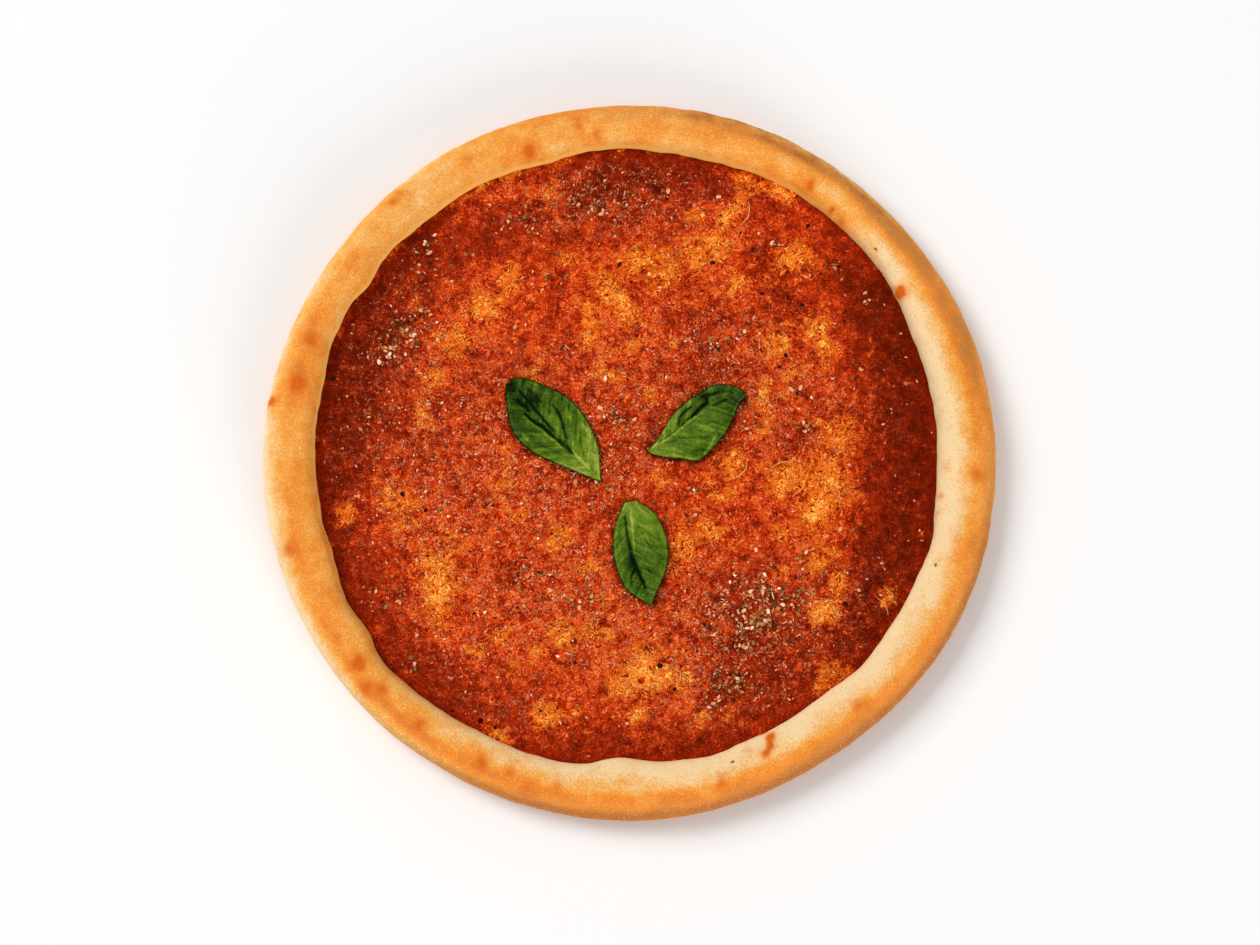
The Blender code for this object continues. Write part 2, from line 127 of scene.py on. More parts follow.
# Melted cheese under and through the sauce: x, y, length and width in mm, direction of the
# length in degrees, and how much of it shows
CHEESE = (
    (5, -92, 19, 18, 0, 0.85), (20, -95, 10, 10, 0, 0.6), (-81, -55, 27, 14, 90, 0.7),
    (-79, -60, 9, 7, 80, 0.7),
    (81, -67, 12, 8, 20, 1.0), (87, -55, 10, 8, 80, 0.7), (78, -46, 10, 8, 60, 0.6),
    (83, -41, 8, 7, 0, 0.5), (66, -9, 18, 14, 15, 0.5), (62, -14, 6, 5, 0, 0.75),
    (42, -2, 13, 11, 0, 0.6), (82, -14, 25, 17, 80, 0.55), (78, -24, 12, 8, 80, 1.0),
    (84, -8, 9, 6, 70, 0.6),
    (41, 104, 8, 5, 60, 1.0), (47, 112, 18, 7, 75, 0.5), (10, 84, 23, 20, 0, 0.38),
    (2, 86, 8, 7, 0, 0.6), (16, 80, 7, 6, 40, 0.5),
    (-6, 69, 25, 9, 125, 0.8), (-18, 60, 20, 6, 95, 0.7), (-17, 52, 6, 4, 80, 1.0),
    (35, 94, 10, 8, 0, 0.7), (38, 88, 8, 7, 0, 0.6), (28, 86, 11, 7, 80, 0.6),
    (-63, 65, 13, 10, 20, 0.85), (-52, 77, 15, 8, 70, 0.55), (70, 86, 15, 11, 10, 0.75),
    (83, -94, 16, 12, 40, 0.55), (-35, -110, 13, 12, 0, 0.65), (-30, -35, 9, 9, 0, 0.65),
    (35, -33, 9, 8, 0, 0.55), (23, -38, 17, 11, 60, 0.5), (-95, -24, 13, 10, 90, 0.5),
    (88, 12, 23, 17, 90, 0.28), (88, 6, 8, 6, 0, 0.5), (82, 50, 19, 7, 90, 0.6),
    (62, 50, 13, 10, 90, 0.55), (76, 57, 8, 8, 0, 0.5), (0, 48, 9, 7, 0, 0.45),
    (42, 72, 5, 3.5, 60, 0.95), (45, 76, 7, 6, 0, 0.6), (-10, 36, 16, 7, 0, 0.4),
    (-42, 37, 11, 6, 0, 0.4), (-36, 115, 8, 5, 90, 0.5), (-28, 86, 10, 6, 0, 0.45),
    (27, 105, 8, 6, 0, 0.55), (18, 49, 5, 5, 0, 0.5), (65, 115, 15, 6, -35, 0.7),
    (68, 34, 13, 8, 90, 0.4), (57, 15, 11, 8, 90, 0.55), (57, 27, 15, 7, 90, 0.5),
    (8, 27, 6, 6, 0, 0.35), (12, -9, 9, 8, 0, 0.35), (37, -15, 11, 9, 0, 0.35),
    (-18, -47, 14, 8, 0, 0.4), (-77, 49, 15, 12, 0, 0.5), (-84, 35, 9, 7, 90, 0.5),
    (-88, 18, 20, 10, 90, 0.35), (-65, 9, 9, 6, 0, 0.35), (-103, -16, 15, 9, 90, 0.45),
    (-120, -24, 9, 8, 0, 0.5), (-77, -34, 6, 5, 0, 0.5), (-85, -45, 9, 6, 0, 0.4),
    (-54, -13, 13, 8, 90, 0.4), (-47, -25, 6, 6, 0, 0.5), (-28, -76, 11, 8, 0, 0.65),
    (-12, -75, 10, 9, 0, 0.55), (-40, -83, 7, 6, 0, 0.6), (-65, -83, 6, 6, 0, 0.6),
    (-55, -76, 8, 7, 0, 0.5), (2, -110, 8, 8, 0, 0.55), (-8, -98, 8, 6, 0, 0.5),
    (30, -111, 6, 6, 0, 0.4), (43, -112, 6, 6, 0, 0.4), (63, -34, 6, 6, 0, 0.5),
    (62, -50, 7, 4, 0, 0.5), (109, -60, 11, 7, 60, 0.45), (-55, -119, 13, 5, -30, 0.6),
    (-50, -92, 9, 7, 0, 0.3), (-52, 123, 9, 3, 25, 0.6), (-66, 116, 9, 3, 35, 0.6),
    (50, 122, 12, 6, -20, 0.6),
)
# The same for broad areas that only glow orange, and for areas baked dark
GLOW = (
    (20, 78, 105, 55, 10, 0.30), (60, 55, 60, 70, 0, 0.22), (78, -15, 95, 40, 85, 0.26),
    (-80, -45, 75, 40, 60, 0.22), (-62, 60, 75, 40, 40, 0.26), (-30, -74, 80, 32, 0, 0.36),
    (5, -98, 60, 34, 0, 0.24), (25, -35, 60, 24, 10, 0.24), (-30, 30, 70, 40, 0, 0.18),
    (-60, -15, 60, 46, 60, 0.16), (-10, -14, 150, 130, 0, 0.34), (-20, -55, 90, 60, 0, 0.25),
    (-58, 66, 44, 28, 20, 0.18), (10, -119, 60, 14, 0, 0.25), (-50, 116, 50, 22, 25, 0.45),
    (-85, 82, 40, 30, 50, 0.15),
)
BAKED_DARK = (
    (118, 15, 140, 34, 92, 0.72), (104, 70, 60, 26, 125, 0.55), (8, 123, 84, 20, 0, 0.45),
    (-108, 65, 80, 24, 60, 0.6), (-124, 0, 110, 22, 92, 0.6), (62, 72, 34, 14, 115, 0.85),
    (70, 68, 22, 9, 140, 0.7), (96, -85, 60, 26, 50, 0.55), (50, 118, 40, 16, -20, 0.3),
    (-95, -85, 60, 20, -50, 0.4), (71, 8, 24, 12, 30, 0.6), (20, -122, 110, 14, 0, 0.38),
    (32, 62, 30, 16, 0, 0.35), (98, -56, 60, 24, 70, 0.8), (-112, 25, 40, 20, 90, 0.4),
    (-60, 98, 50, 18, 40, 0.35), (35, 30, 22, 14, 0, 0.3), (60, -80, 50, 30, 30, 0.3),
)
# Fine pale grit of the sauce: how thickly it lies
GRITTY = (
    (-85, 0, 90, 60, 90, 0.7), (-40, 5, 70, 60, 0, 0.9), (-10, 112, 90, 28, 0, 0.8),
    (-20, -60, 110, 50, 0, 0.75), (45, -78, 80, 50, 20, 1.0), (20, 30, 70, 50, 0, 0.65),
    (-92, 55, 50, 40, 60, 0.38), (70, 20, 50, 40, 0, 0.5), (40, 50, 40, 30, 0, 0.6),
    (-60, -95, 60, 30, -30, 0.4), (-20, 0, 50, 40, 0, 0.8),
)
# Heaps of dried oregano
HERBS = (
    (-97, 52, 18, 14, 30, 1.0), (-103, 43, 12, 9, 0, 0.8), (-91, 60, 12, 8, 60, 0.45),
    (-88, 86, 22, 12, 100, 0.35), (-45, 105, 10, 8, 0, 0.4), (-16, 113, 26, 16, 0, 0.4),
    (10, 118, 8, 8, 0, 0.35), (-28, 47, 12, 7, 20, 0.45), (-5, 16, 9, 8, 0, 0.9),
    (37, 48, 8, 6, 20, 0.9), (53, 57, 6, 5, 0, 0.6), (71, 27, 6, 6, 0, 0.4),
    (74, 12, 8, 6, 0, 0.7), (50, 14, 6, 6, 0, 0.5), (36, -63, 10, 9, 0, 1.0),
    (52, -58, 20, 12, 20, 0.9), (51, -69, 18, 12, 0, 1.0), (63, -64, 12, 9, 0, 0.8),
    (71, -58, 8, 6, 0, 0.8), (46, -79, 10, 7, 0, 0.7), (32, -74, 8, 6, 0, 0.7),
    (34, -104, 9, 8, 0, 0.8), (42, -96, 12, 10, 0, 0.9), (51, -98, 6, 6, 0, 0.6),
    (-42, -52, 18, 9, 0, 0.5), (-18, -62, 20, 8, 0, 0.4), (-25, -86, 10, 7, 0, 0.5),
    (-103, -59, 10, 8, 0, 0.5), (-92, -87, 8, 8, 0, 0.4), (-75, -92, 8, 6, 0, 0.4),
    (-84, 24, 8, 6, 0, 0.4), (28, -14, 8, 6, 0, 0.5), (25, -26, 8, 6, 0, 0.4),
    (-12, -12, 8, 6, 0, 0.4), (97, -59, 6, 6, 0, 0.5), (102, 67, 8, 6, 0, 0.4),
    (83, 82, 10, 7, 0, 0.5), (73, -44, 7, 5, 0, 0.8), (-70, -20, 18, 9, 10, 0.4),
    (-30, 75, 16, 10, 0, 0.3), (60, 92, 12, 8, 0, 0.4),
)
# Charred bits: x, y and radius in mm
CHARRED = (
    (-127, 34, 1.7), (-97, -16, 1.5), (-5, 84, 1.3), (0, 76, 0.9), (76, 101, 1.3), (61, 110, 0.9),
    (56, 71, 1.2), (73, 66, 1.2), (66, 44, 1.5), (63, 39, 0.9), (54, 86, 0.9), (91, 59, 0.9),
    (-66, -67, 0.9), (-63, -112, 1.6), (-75, -108, 1.1), (-57, -115, 1.0), (90, -63, 1.5),
    (18, -99, 1.2), (-84, -53, 1.0), (12, -89, 1.6), (8, -90, 1.1), (3, -94, 0.9), (35, 85, 1.6),
    (-12, 79, 0.7), (-38, -108, 0.9), (-33, -112, 0.8), (89, 83, 0.9), (47, 98, 0.8), (-87, -23, 1.3),
)
# Strands of cheese that stand up from the surface, as points in mm
STRANDS = (
    ((50.5, 112), (51, 108), (50, 104), (46.5, 101)),
    ((41, -9), (45, -9), (49, -5), (49, -1)),
    ((59, -5), (63, -2), (69, -2.5)),
    ((74, -9), (72.5, -14), (68, -17)),
    ((62, -8), (66, -5), (70, -8), (68, -12)),
    ((106, -55), (110, -59), (112, -65)),
    ((103, -60), (107, -63), (108, -68)),
    ((79, -63), (83, -61), (87, -63)),
    ((84, -10), (88, -14), (88, -21)),
    ((1, -86), (5, -85), (10, -86.5)),
    ((-1, -95), (2, -98), (7, -98.5)),
    ((3, -92), (8, -92.5), (12, -95)),
    ((-84, -48), (-80, -50), (-78, -55)),
    ((60, 118), (64, 116), (67, 113)),
)

# The three basil leaves, in mm, as the solids have them: edges and midrib at eleven stations,
# to the right of the line from stem to tip. Creases and ridges follow points (part of the
# way from stem to tip, mm to the right) with a width in mm and a strength; creases are also
# coloured darker as painted shade and ridges lighter as painted highlights. Patches have a
# place, two radii in mm and how much darker they are
LEAF_THICKNESS = 0.45 * MM
LEAF_LIFT = 8.8 * MM
LEAF_QUILT = 1.3 * MM
LEAF_WAVE = 0.7 * MM
LEAF_WAVES = 5
LEAVES = (
    {"stem": (-13.0, -10.7), "tip": (-52.4, 31.5), "curl": 1.6, "tone": (0.20, 0.54, 0.80),
     "left": (-0.3, -0.9, -3.0, -6.0, -9.5, -12.8, -13.6, -10.7, -6.1, -2.8, -0.8),
     "rib": (0, 0, -0.3, -0.7, -1.0, -1.5, -1.5, -1.0, -0.3, 0.3, 0.2),
     "right": (0.3, 1.3, 4.6, 9.4, 12.8, 14.5, 13.8, 10.9, 7.7, 4.4, 1.2),
     "creases": (
         (((.91, 1.0), (.81, .8), (.70, .55), (.57, 0), (.46, -.2), (.36, 0), (.29, -.7)), 0.55, 0.8),
         (((.75, -3.9), (.66, -3.5), (.58, -2.1), (.47, -1.5), (.37, -.9), (.29, -.7)), 0.8, 1.0),
         (((.65, 7.3), (.575, 6.6), (.50, 5.1), (.43, 2.5), (.38, .3)), 0.6, 0.8),
         (((.86, -2.2), (.74, -1.6)), 0.9, 0.7), (((.88, 4.2), (.80, 5.0), (.72, 4.4)), 0.7, 0.4),
         (((.36, -4.6), (.46, -7.4), (.52, -9.0)), 0.5, 0.35),
         (((.22, 2.0), (.32, 5.6), (.38, 8.6)), 0.5, 0.35)),
     "ridges": (
         (((.73, -5.3), (.55, -3.3), (.38, -2.2)), 0.6, 0.8),
         (((.63, -1.0), (.50, -.3), (.39, -.1)), 0.35, 0.8),
         (((.64, -10.6), (.58, -11.0)), 0.7, 0.8), (((.40, 11.2), (.28, 9.6)), 0.8, 0.7),
         (((.30, -.1), (.12, .2)), 0.6, 0.8), (((.48, 8.6), (.56, 10.2)), 0.8, 0.4)),
     "patches": ((.78, 2.1, 2.6, 2.4, 0.35), (.57, 3.4, 5.0, 2.2, -0.16), (.92, -2.0, 4.0, 3.0, 0.14),
                 (.75, -8.0, 6.0, 2.4, 0.16), (.80, 8.0, 5.0, 2.0, -0.10),
                 (.22, -2.2, 4.0, 2.0, -0.12))},
    {"stem": (6.9, 2.5), "tip": (48.7, 26.0), "curl": 2.4, "tone": (0.29, 0.50, 0.65),
     "left": (-0.4, -0.6, -1.5, -4.1, -8.2, -10.1, -10.6, -10.8, -7.7, -3.9, -0.6),
     "rib": (0, 0.3, 0.4, -0.6, -1.8, -3.9, -5.2, -4.6, -2.6, -1.0, 0),
     "right": (0.4, 2.7, 6.0, 9.9, 14.4, 13.3, 10.5, 6.2, 2.0, 1.1, 0.6),
     "creases": (
         (((.12, -.2), (.28, -1.05), (.51, -4.1), (.64, -5.2)), 0.4, 0.5),
         (((.345, -2.7), (.39, -5.6), (.48, -7.0), (.53, -7.1)), 0.6, 0.9),
         (((.48, -3.1), (.57, -4.6), (.67, -5.6), (.69, -8.6)), 0.75, 1.0),
         (((.30, 2.0), (.42, 5.2), (.55, 8.8)), 0.5, 0.55), (((.26, 3.6), (.36, 7.6)), 0.5, 0.4),
         (((.16, .6), (.24, 2.2), (.32, 4.0)), 0.5, 0.4), (((.70, -3.2), (.84, -2.4)), 0.7, 0.5),
         (((.66, -8.6), (.80, -6.8)), 0.9, 0.6), (((.56, 2.0), (.68, 4.4)), 0.5, 0.35)),
     "ridges": (
         (((.05, 0), (.22, -.3), (.40, -2.0), (.59, -3.0)), 0.55, 0.9),
         (((.50, 2.2), (.62, 3.6)), 1.4, 0.45),
         (((.42, 13.2), (.50, 11.6), (.59, 8.8)), 0.5, 0.9),
         (((.14, -2.0), (.22, -4.2), (.30, -6.6)), 0.4, 0.7),
         (((.72, -6.4), (.88, -4.4)), 0.5, 0.5), (((.36, 3.6), (.46, 6.4)), 0.8, 0.4)),
     "patches": ((.84, -3.2, 6.0, 4.0, 0.10), (.68, -8.0, 3.0, 2.0, 0.22), (.42, -7.6, 3.0, 2.2, -0.08),
                 (.50, 4.0, 6.0, 4.0, -0.08), (.40, 11.4, 5.0, 1.6, 0.16),
                 (.90, -1.0, 3.0, 2.0, 0.10))},
    {"stem": (0.1, -19.5), "tip": (8.3, -63.9), "curl": 1.9, "tone": (0.33, 0.56, 0.50),
     "left": (-2.8, -3.3, -6.6, -9.8, -11.6, -11.7, -9.9, -6.3, -3.0, -1.1, -0.3),
     "rib": (0, 0.8, 2.4, 4.0, 4.3, 4.2, 3.2, 1.5, 0.4, 0.2, 0),
     "right": (3.0, 4.0, 6.2, 9.0, 11.0, 11.8, 11.2, 9.4, 5.3, 2.2, 0.4),
     "creases": (
         (((.13, 3.8), (.26, 4.3), (.39, 4.2), (.50, 4.2), (.61, 3.4), (.73, 2.1), (.83, .9)), 0.6, 0.9),
         (((.42, 4.3), (.52, 4.2), (.62, 3.2)), 1.1, 0.6),
         (((.60, 3.4), (.70, 6.0), (.78, 6.6)), 0.7, 0.5),
         (((.36, -2.0), (.48, -5.2), (.56, -6.8)), 0.5, 0.4),
         (((.20, 6.4), (.30, 7.6), (.40, 7.2)), 0.5, 0.35),
         (((.24, -.4), (.34, -2.4)), 0.5, 0.35), (((.60, 0), (.72, -3.0)), 0.5, 0.35)),
     "ridges": (
         (((.10, 1.2), (.29, 1.8), (.50, 3.0)), 0.55, 0.9), (((.33, -3.0), (.54, -5.9)), 0.6, 0.6),
         (((.27, -.8), (.45, -3.0)), 0.6, 0.6), (((.36, -9.6), (.48, -10.4)), 0.9, 0.5),
         (((.48, 7.0), (.54, 9.2)), 0.5, 0.5), (((.66, 1.0), (.80, -.4)), 0.5, 0.35)),
     "patches": ((.60, 4.8, 3.4, 2.4, 0.30), (.78, 3.0, 5.0, 2.0, 0.10), (.30, -5.0, 7.0, 3.0, -0.08),
                 (.12, 0, 4.0, 3.0, -0.10), (.50, 8.6, 4.0, 2.0, -0.06), (.86, 0, 4.0, 2.0, 0.10))},
)


def linear(code):
    """Linear red, green and blue of an sRGB hex colour."""
    values = [int(code[k:k + 2], 16) / 255 for k in (1, 3, 5)]
    return tuple(v / 12.92 if v <= 0.04045 else ((v + 0.055) / 1.055) ** 2.4 for v in values)


def tint(name, description, code):
    """A colour that a user can change."""
    return FloatVectorProperty(name=name, description=description, default=linear(code),
                               subtype="COLOR", size=3, min=0, max=1)


def length(name, description, millimetres):
    """A size that a user can change."""
    return FloatProperty(name=name, description=description, default=millimetres * MM,
                         subtype="DISTANCE", unit="LENGTH", min=0, precision=5)


class CrustSettings(bpy.types.PropertyGroup):
    puff: length("Puffs", "Depth of the soft lumps along the rim", 0.35)
    grain: length("Grain", "Depth of the dough skin's fine grain", 0.09)
    blister: length("Blisters", "Height of the browned blisters", 0.3)
    pale: tint("Pale", "Dough that the oven has hardly browned", "#F3D8A9")
    golden: tint("Golden", "Dough baked to a golden colour", "#F0AC4D")
    orange: tint("Orange", "Well baked dough", "#EC8A29")
    brown: tint("Brown", "Edge of the rim against the oven floor", "#C3803A")
    spot: tint("Spot", "Browned blister", "#D86609")
    toast: tint("Toast", "Toasted grain of the far edge", "#CB8849")


class ToppingSettings(bpy.types.PropertyGroup):
    lump: length("Lumps", "Depth of the uneven surface of the sauce", 0.30)
    pool_rise: length("Pool rise", "How far melted cheese stands above the sauce", 0.40)
    grit_density: FloatProperty(name="Grit", description="Pale grains on a square metre where thick",
                                default=200000, min=0)
    soot_density: FloatProperty(name="Specks", description="Dark specks on a square metre",
                                default=7000, min=0)
    seed: IntProperty(name="Seed", description="Seed of every scattered grain and flake", default=4)


class HerbSettings(bpy.types.PropertyGroup):
    density: FloatProperty(name="Flakes", description="Oregano flakes on a square metre of a heap",
                           default=240000, min=0)
    shortest: length("Shortest flake", "Length of the smallest oregano flake", 1.0)
    longest: length("Longest flake", "Length of the largest oregano flake", 2.8)
    fresh: tint("Fresh", "Dried oregano that kept its green", "#99753F")
    dry: tint("Dry", "Bleached oregano", "#FABA8A")


class LeafSettings(bpy.types.PropertyGroup):
    crease: length("Creases", "Depth of the folds along the veins", 0.7)
    ridge: length("Ridges", "Height of the folds beside them", 0.35)
    young: tint("Stem end", "Yellow-green by the stalk", "#A0AB4A")
    green: tint("Green", "Middle of the leaf", "#3C580D")
    dark: tint("Outer end", "Dark green outer end", "#091600")


class StageSettings(bpy.types.PropertyGroup):
    key: FloatProperty(name="Key light", description="Power of the large soft light", default=284,
                       min=0, subtype="POWER", unit="POWER")
    sky: FloatProperty(name="Room", description="Strength of the white surroundings", default=0.46, min=0)
    fill: FloatProperty(name="Fill light", description="Power of the low light across from the key",
                        default=122, min=0, subtype="POWER", unit="POWER")
    floor: tint("Floor", "Pale floor", "#F6F8FB")


def rgba(colour):
    return (*colour, 1)


def add_node(tree, kind, sockets=(), **settings):
    """Adds a node; sockets maps an input to a value, or to the output that feeds it."""
    made = tree.nodes.new(kind)
    for key, value in settings.items():
        setattr(made, key, value)
    for key, value in dict(sockets).items():
        socket = made.inputs[key]
        if isinstance(value, bpy.types.NodeSocket):
            tree.links.new(value, socket)
        else:
            socket.default_value = value
    return made


def attribute(tree, name):
    """A value that the mesh carries, under its name."""
    return add_node(tree, "ShaderNodeAttribute", attribute_name=name).outputs["Fac"]


def product(tree, first, second, clamp=False):
    return add_node(tree, "ShaderNodeMath", {0: first, 1: second}, operation="MULTIPLY",
                    use_clamp=clamp).outputs[0]


def noise_value(tree, place, millimetres, detail, roughness=0.5):
    """Noise from 0 to 1 whose largest forms are about so many millimetres wide."""
    return add_node(tree, "ShaderNodeTexNoise", {
        "Vector": place, "Scale": 1 / (millimetres * MM), "Detail": detail,
        "Roughness": roughness}).outputs["Fac"]


def new_material(name):
    """An empty material: its node tree and its shader."""
    material = bpy.data.materials.new(name)
    material.use_nodes = True
    return material, material.node_tree, material.node_tree.nodes["Principled BSDF"]


def weighted(tree, start, *terms):
    """Sum of a start value and of pairs of an output and its weight."""
    total = start
    for value, weight in terms:
        total = add_node(tree, "ShaderNodeMath", {0: value, 1: weight, 2: total},
                         operation="MULTIPLY_ADD").outputs[0]
    return total


def ramp(tree, value, stops):
    """Colour of a value between (place, colour) stops."""
    made = add_node(tree, "ShaderNodeValToRGB", {"Fac": value})
    elements = made.color_ramp.elements
    while len(elements) < len(stops):
        elements.new(1.0)
    for element, (place, colour) in zip(elements, stops):
        element.position = place
        element.color = rgba(colour)
    return made.outputs["Color"]


def rough(points, spacing, seed=0):
    """Smooth noise from -1 to 1 at each point, whose lumps are about one spacing apart."""
    places = (points / spacing + seed * np.array([7.1, 3.3, 5.7])).tolist()
    return np.array([noise.noise(place) for place in places])


def smooth(values, low, high):
    """0 up to low, 1 from high, and a soft step between."""
    part = np.clip((values - low) / (high - low), 0, 1)
    return part * part * (3 - 2 * part)


def soft_patches(points, patches):
    """How strongly the listed ovals cover each point, from 0 to 1; ovals add up softly."""
    bare = np.ones(len(points))
    for x, y, long, wide, direction, amount in patches:
        turn = math.radians(direction)
        away = points[:, :2] / MM - (x, y) - OFF_MIDDLE
        along = (away[:, 0] * math.cos(turn) + away[:, 1] * math.sin(turn)) / (long / 2)
        beside = (-away[:, 0] * math.sin(turn) + away[:, 1] * math.cos(turn)) / (wide / 2)
        bare *= 1 - amount * np.exp(-(along ** 2 + beside ** 2) ** 1.3 * 0.7)
    return 1 - bare


def new_piece(name, points, faces, material, **attributes):
    """A smooth mesh at the origin, with named values at its points."""
    mesh = bpy.data.meshes.new(name)
    mesh.from_pydata(np.asarray(points).tolist(), [], faces)
    for key, values in attributes.items():
        mesh.attributes.new(key, "FLOAT", "POINT").data.foreach_set("value", np.asarray(values, np.float32))
    mesh.materials.append(material)
    mesh.shade_smooth()
    piece = bpy.data.objects.new(name, mesh)
    bpy.context.scene.collection.objects.link(piece)
    return piece


def settle(piece, slot, *nodes):
    """Says what a finished piece rides on and stands for; the slot it is given is not used."""
    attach(piece, "root")
    if nodes:
        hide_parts(*nodes)


def band(low, high, count):
    """Faces between two rows of vertices that close round, given their first numbers."""
    after = [(k + 1) % count for k in range(count)]
    return [(low + k, low + after[k], high + after[k], high + k) for k in range(count)]


def node_tree_of(name):
    """Search tree of a CAD node's faces."""
    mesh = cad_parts[name].data
    points = [vertex.co for vertex in mesh.vertices]
    return BVHTree.FromPolygons(points, [tuple(face.vertices) for face in mesh.polygons])


def smoothed(values):
    """A row of values round the pizza without the facets of the frame."""
    waves = np.fft.rfft(values)
    waves[HARMONICS:] = 0
    return np.fft.irfft(waves, len(values))


def rim_outlines():
    """Outer radius, radius of the inner foot and height of the crown, round the pizza."""
    tree = node_tree_of("crust")
    far = 0.3
    angles = np.arange(TURNS) * 2 * math.pi / TURNS
    outer, inner, crown = [], [], []
    for angle in angles:
        way = Vector((math.cos(angle), math.sin(angle), 0))
        outside = tree.ray_cast(way * far + Vector((0, 0, RIM_WAIST)), -way)[0]
        inside = tree.ray_cast(Vector((0, 0, (BASE_TOP + RIM_WAIST) / 2)), way)[0]
        outer.append(outside.xy.length)
        inner.append(inside.xy.length)
        above = way * (outer[-1] + inner[-1]) / 2 + Vector((0, 0, far))
        crown.append(tree.ray_cast(above, Vector((0, 0, -1)))[0].z)
    return angles, smoothed(outer), smoothed(inner), smoothed(crown)


ANGLES, OUTER, INNER, CROWN = rim_outlines()
FOOT_RAGGED = 0.45 * MM         # how unevenly the sauce meets the rim
RAGGED = rough(np.stack([150 * MM * np.cos(ANGLES), 150 * MM * np.sin(ANGLES), 0 * ANGLES], 1), 7 * MM, 3)
FOOT = INNER + FOOT_RAGGED * RAGGED


def foot_radius(points):
    """Radius of the rim's inner foot in the direction of each point."""
    directions = np.arctan2(points[:, 1], points[:, 0]) % (2 * math.pi)
    return np.interp(directions, np.append(ANGLES, 2 * math.pi), np.append(FOOT, FOOT[0]))


def rim_rows():
    """Rows of (radius, height, place) from the underside over the crown to the inner foot.

    Place is 2 to 1.5 on the underside, 1 at the outer waist and 0 at the inner one.
    """
    middle = (OUTER + FOOT) / 2
    half = (OUTER - FOOT) / 2
    rows = []
    for part in np.linspace(0.04, 1, 26):
        rows.append(((OUTER - EDGE_ROUND) * part, 0 * OUTER, 2.5 - part))
    for turn in np.linspace(0, math.pi / 2, 19)[1:]:
        inset = EDGE_ROUND * (1 - math.sin(turn) ** UNDER_BULGE)
        height = RIM_WAIST * (1 - max(math.cos(turn), 0) ** UNDER_BULGE)
        rows.append((OUTER - inset, height + 0 * OUTER, 1.5 - turn / math.pi))
    for turn in np.linspace(0, math.pi, 61)[1:]:
        across = math.cos(turn)
        bulge = OUTER_BULGE if across > 0 else INNER_BULGE
        radius = middle + half * math.copysign(abs(across) ** bulge, across)
        height = RIM_WAIST + (CROWN - RIM_WAIST) * max(math.sin(turn), 0) ** bulge
        rows.append((radius, height, 1 - turn / math.pi))
    for part in (0.25, 0.5, 0.75, 1.0):
        rows.append((FOOT, RIM_WAIST + (BASE_TOP - RIM_WAIST) * part + 0 * OUTER, -0.1 * part))
    return rows


def rim_browning_and_painted_light(points, place):
    """How baked the dough is at each point, from 0 pale to 1 brown, by side and by place, with painted light
    where the rim faces the key light.
    """
    directions = np.degrees(np.arctan2(points[:, 1], points[:, 0]))
    across = np.interp(place, (0, 0.29, 0.46, 0.59, 0.79, 1.0), (0, 0.15, 0.4, 0.65, 0.9, 1.0))
    bake = 0.40 + 0 * place
    for direction, spread, middle, width, amount in RIM_BAKING_AND_PAINTED_LIGHT:
        turn = (directions - direction + 180) % 360 - 180
        bake += amount * np.exp(-(turn / spread) ** 4 * 0.7 - ((across - middle) / width) ** 2)
    turns = np.radians(directions)
    streaks = np.column_stack([60 * MM * np.cos(turns), 60 * MM * np.sin(turns), across * 24 * MM])
    bake += (0.13 * rough(points, 14 * MM, 1) + 0.09 * rough(points, 5 * MM, 2)
             + 0.12 * rough(streaks, 4 * MM, 3))
    under = smooth(place, 1.0, 1.25)
    return np.clip(bake * (1 - under) + 0.85 * under, 0, 1)


def rim_spots(points):
    """Browned blisters on the upper side of the rim, ragged at their edges, and their haloes."""
    wander = np.stack([rough(points, 4 * MM, 5), rough(points, 4 * MM, 6)], 1)
    warped = points[:, :2] / MM - OFF_MIDDLE + 1.3 * wander
    spots = np.zeros(len(points))
    halo = np.zeros(len(points))
    for direction, distance, radius, amount in RIM_SPOTS:
        turn = math.radians(direction)
        x, y = distance * math.cos(turn), distance * math.sin(turn)
        away = np.hypot(warped[:, 0] - x, warped[:, 1] - y) / radius
        spots = np.maximum(spots, amount * np.exp(-away ** 1.9))
        halo = np.maximum(halo, amount * np.exp(-(away / 1.9) ** 2))
    above = points[:, 2] > RIM_WAIST * 0.8
    return spots * above, halo * above


def rim_toast(points, place):
    """The grey-brown toasted arc along the outer edge, away from the eater."""
    directions = np.degrees(np.arctan2(points[:, 1], points[:, 0]))
    arc = smooth(directions, 12, 44) * (1 - smooth(directions, 90, 108))
    ring = smooth(place, 0.44, 0.60) * (1 - smooth(place, 1.1, 1.3))
    patchy = 0.30 + 0.26 * rough(points, 9 * MM, 8) + 0.2 * rough(points, 3 * MM, 9)
    # The outer edge gets a darker, grainier band, strongest towards the lower right
    thin = 0.84 * smooth(place, 0.60, 0.86) * smooth(np.cos(np.radians(directions + 65)), -0.1, 0.8)
    toast = arc * ring * patchy + thin
    for direction, spread, middle, width, amount in TOAST_STREAKS:
        toast += amount * np.exp(-((directions - direction) / spread) ** 2 - ((place - middle) / width) ** 2)
    return np.clip(toast, 0, 1.5)


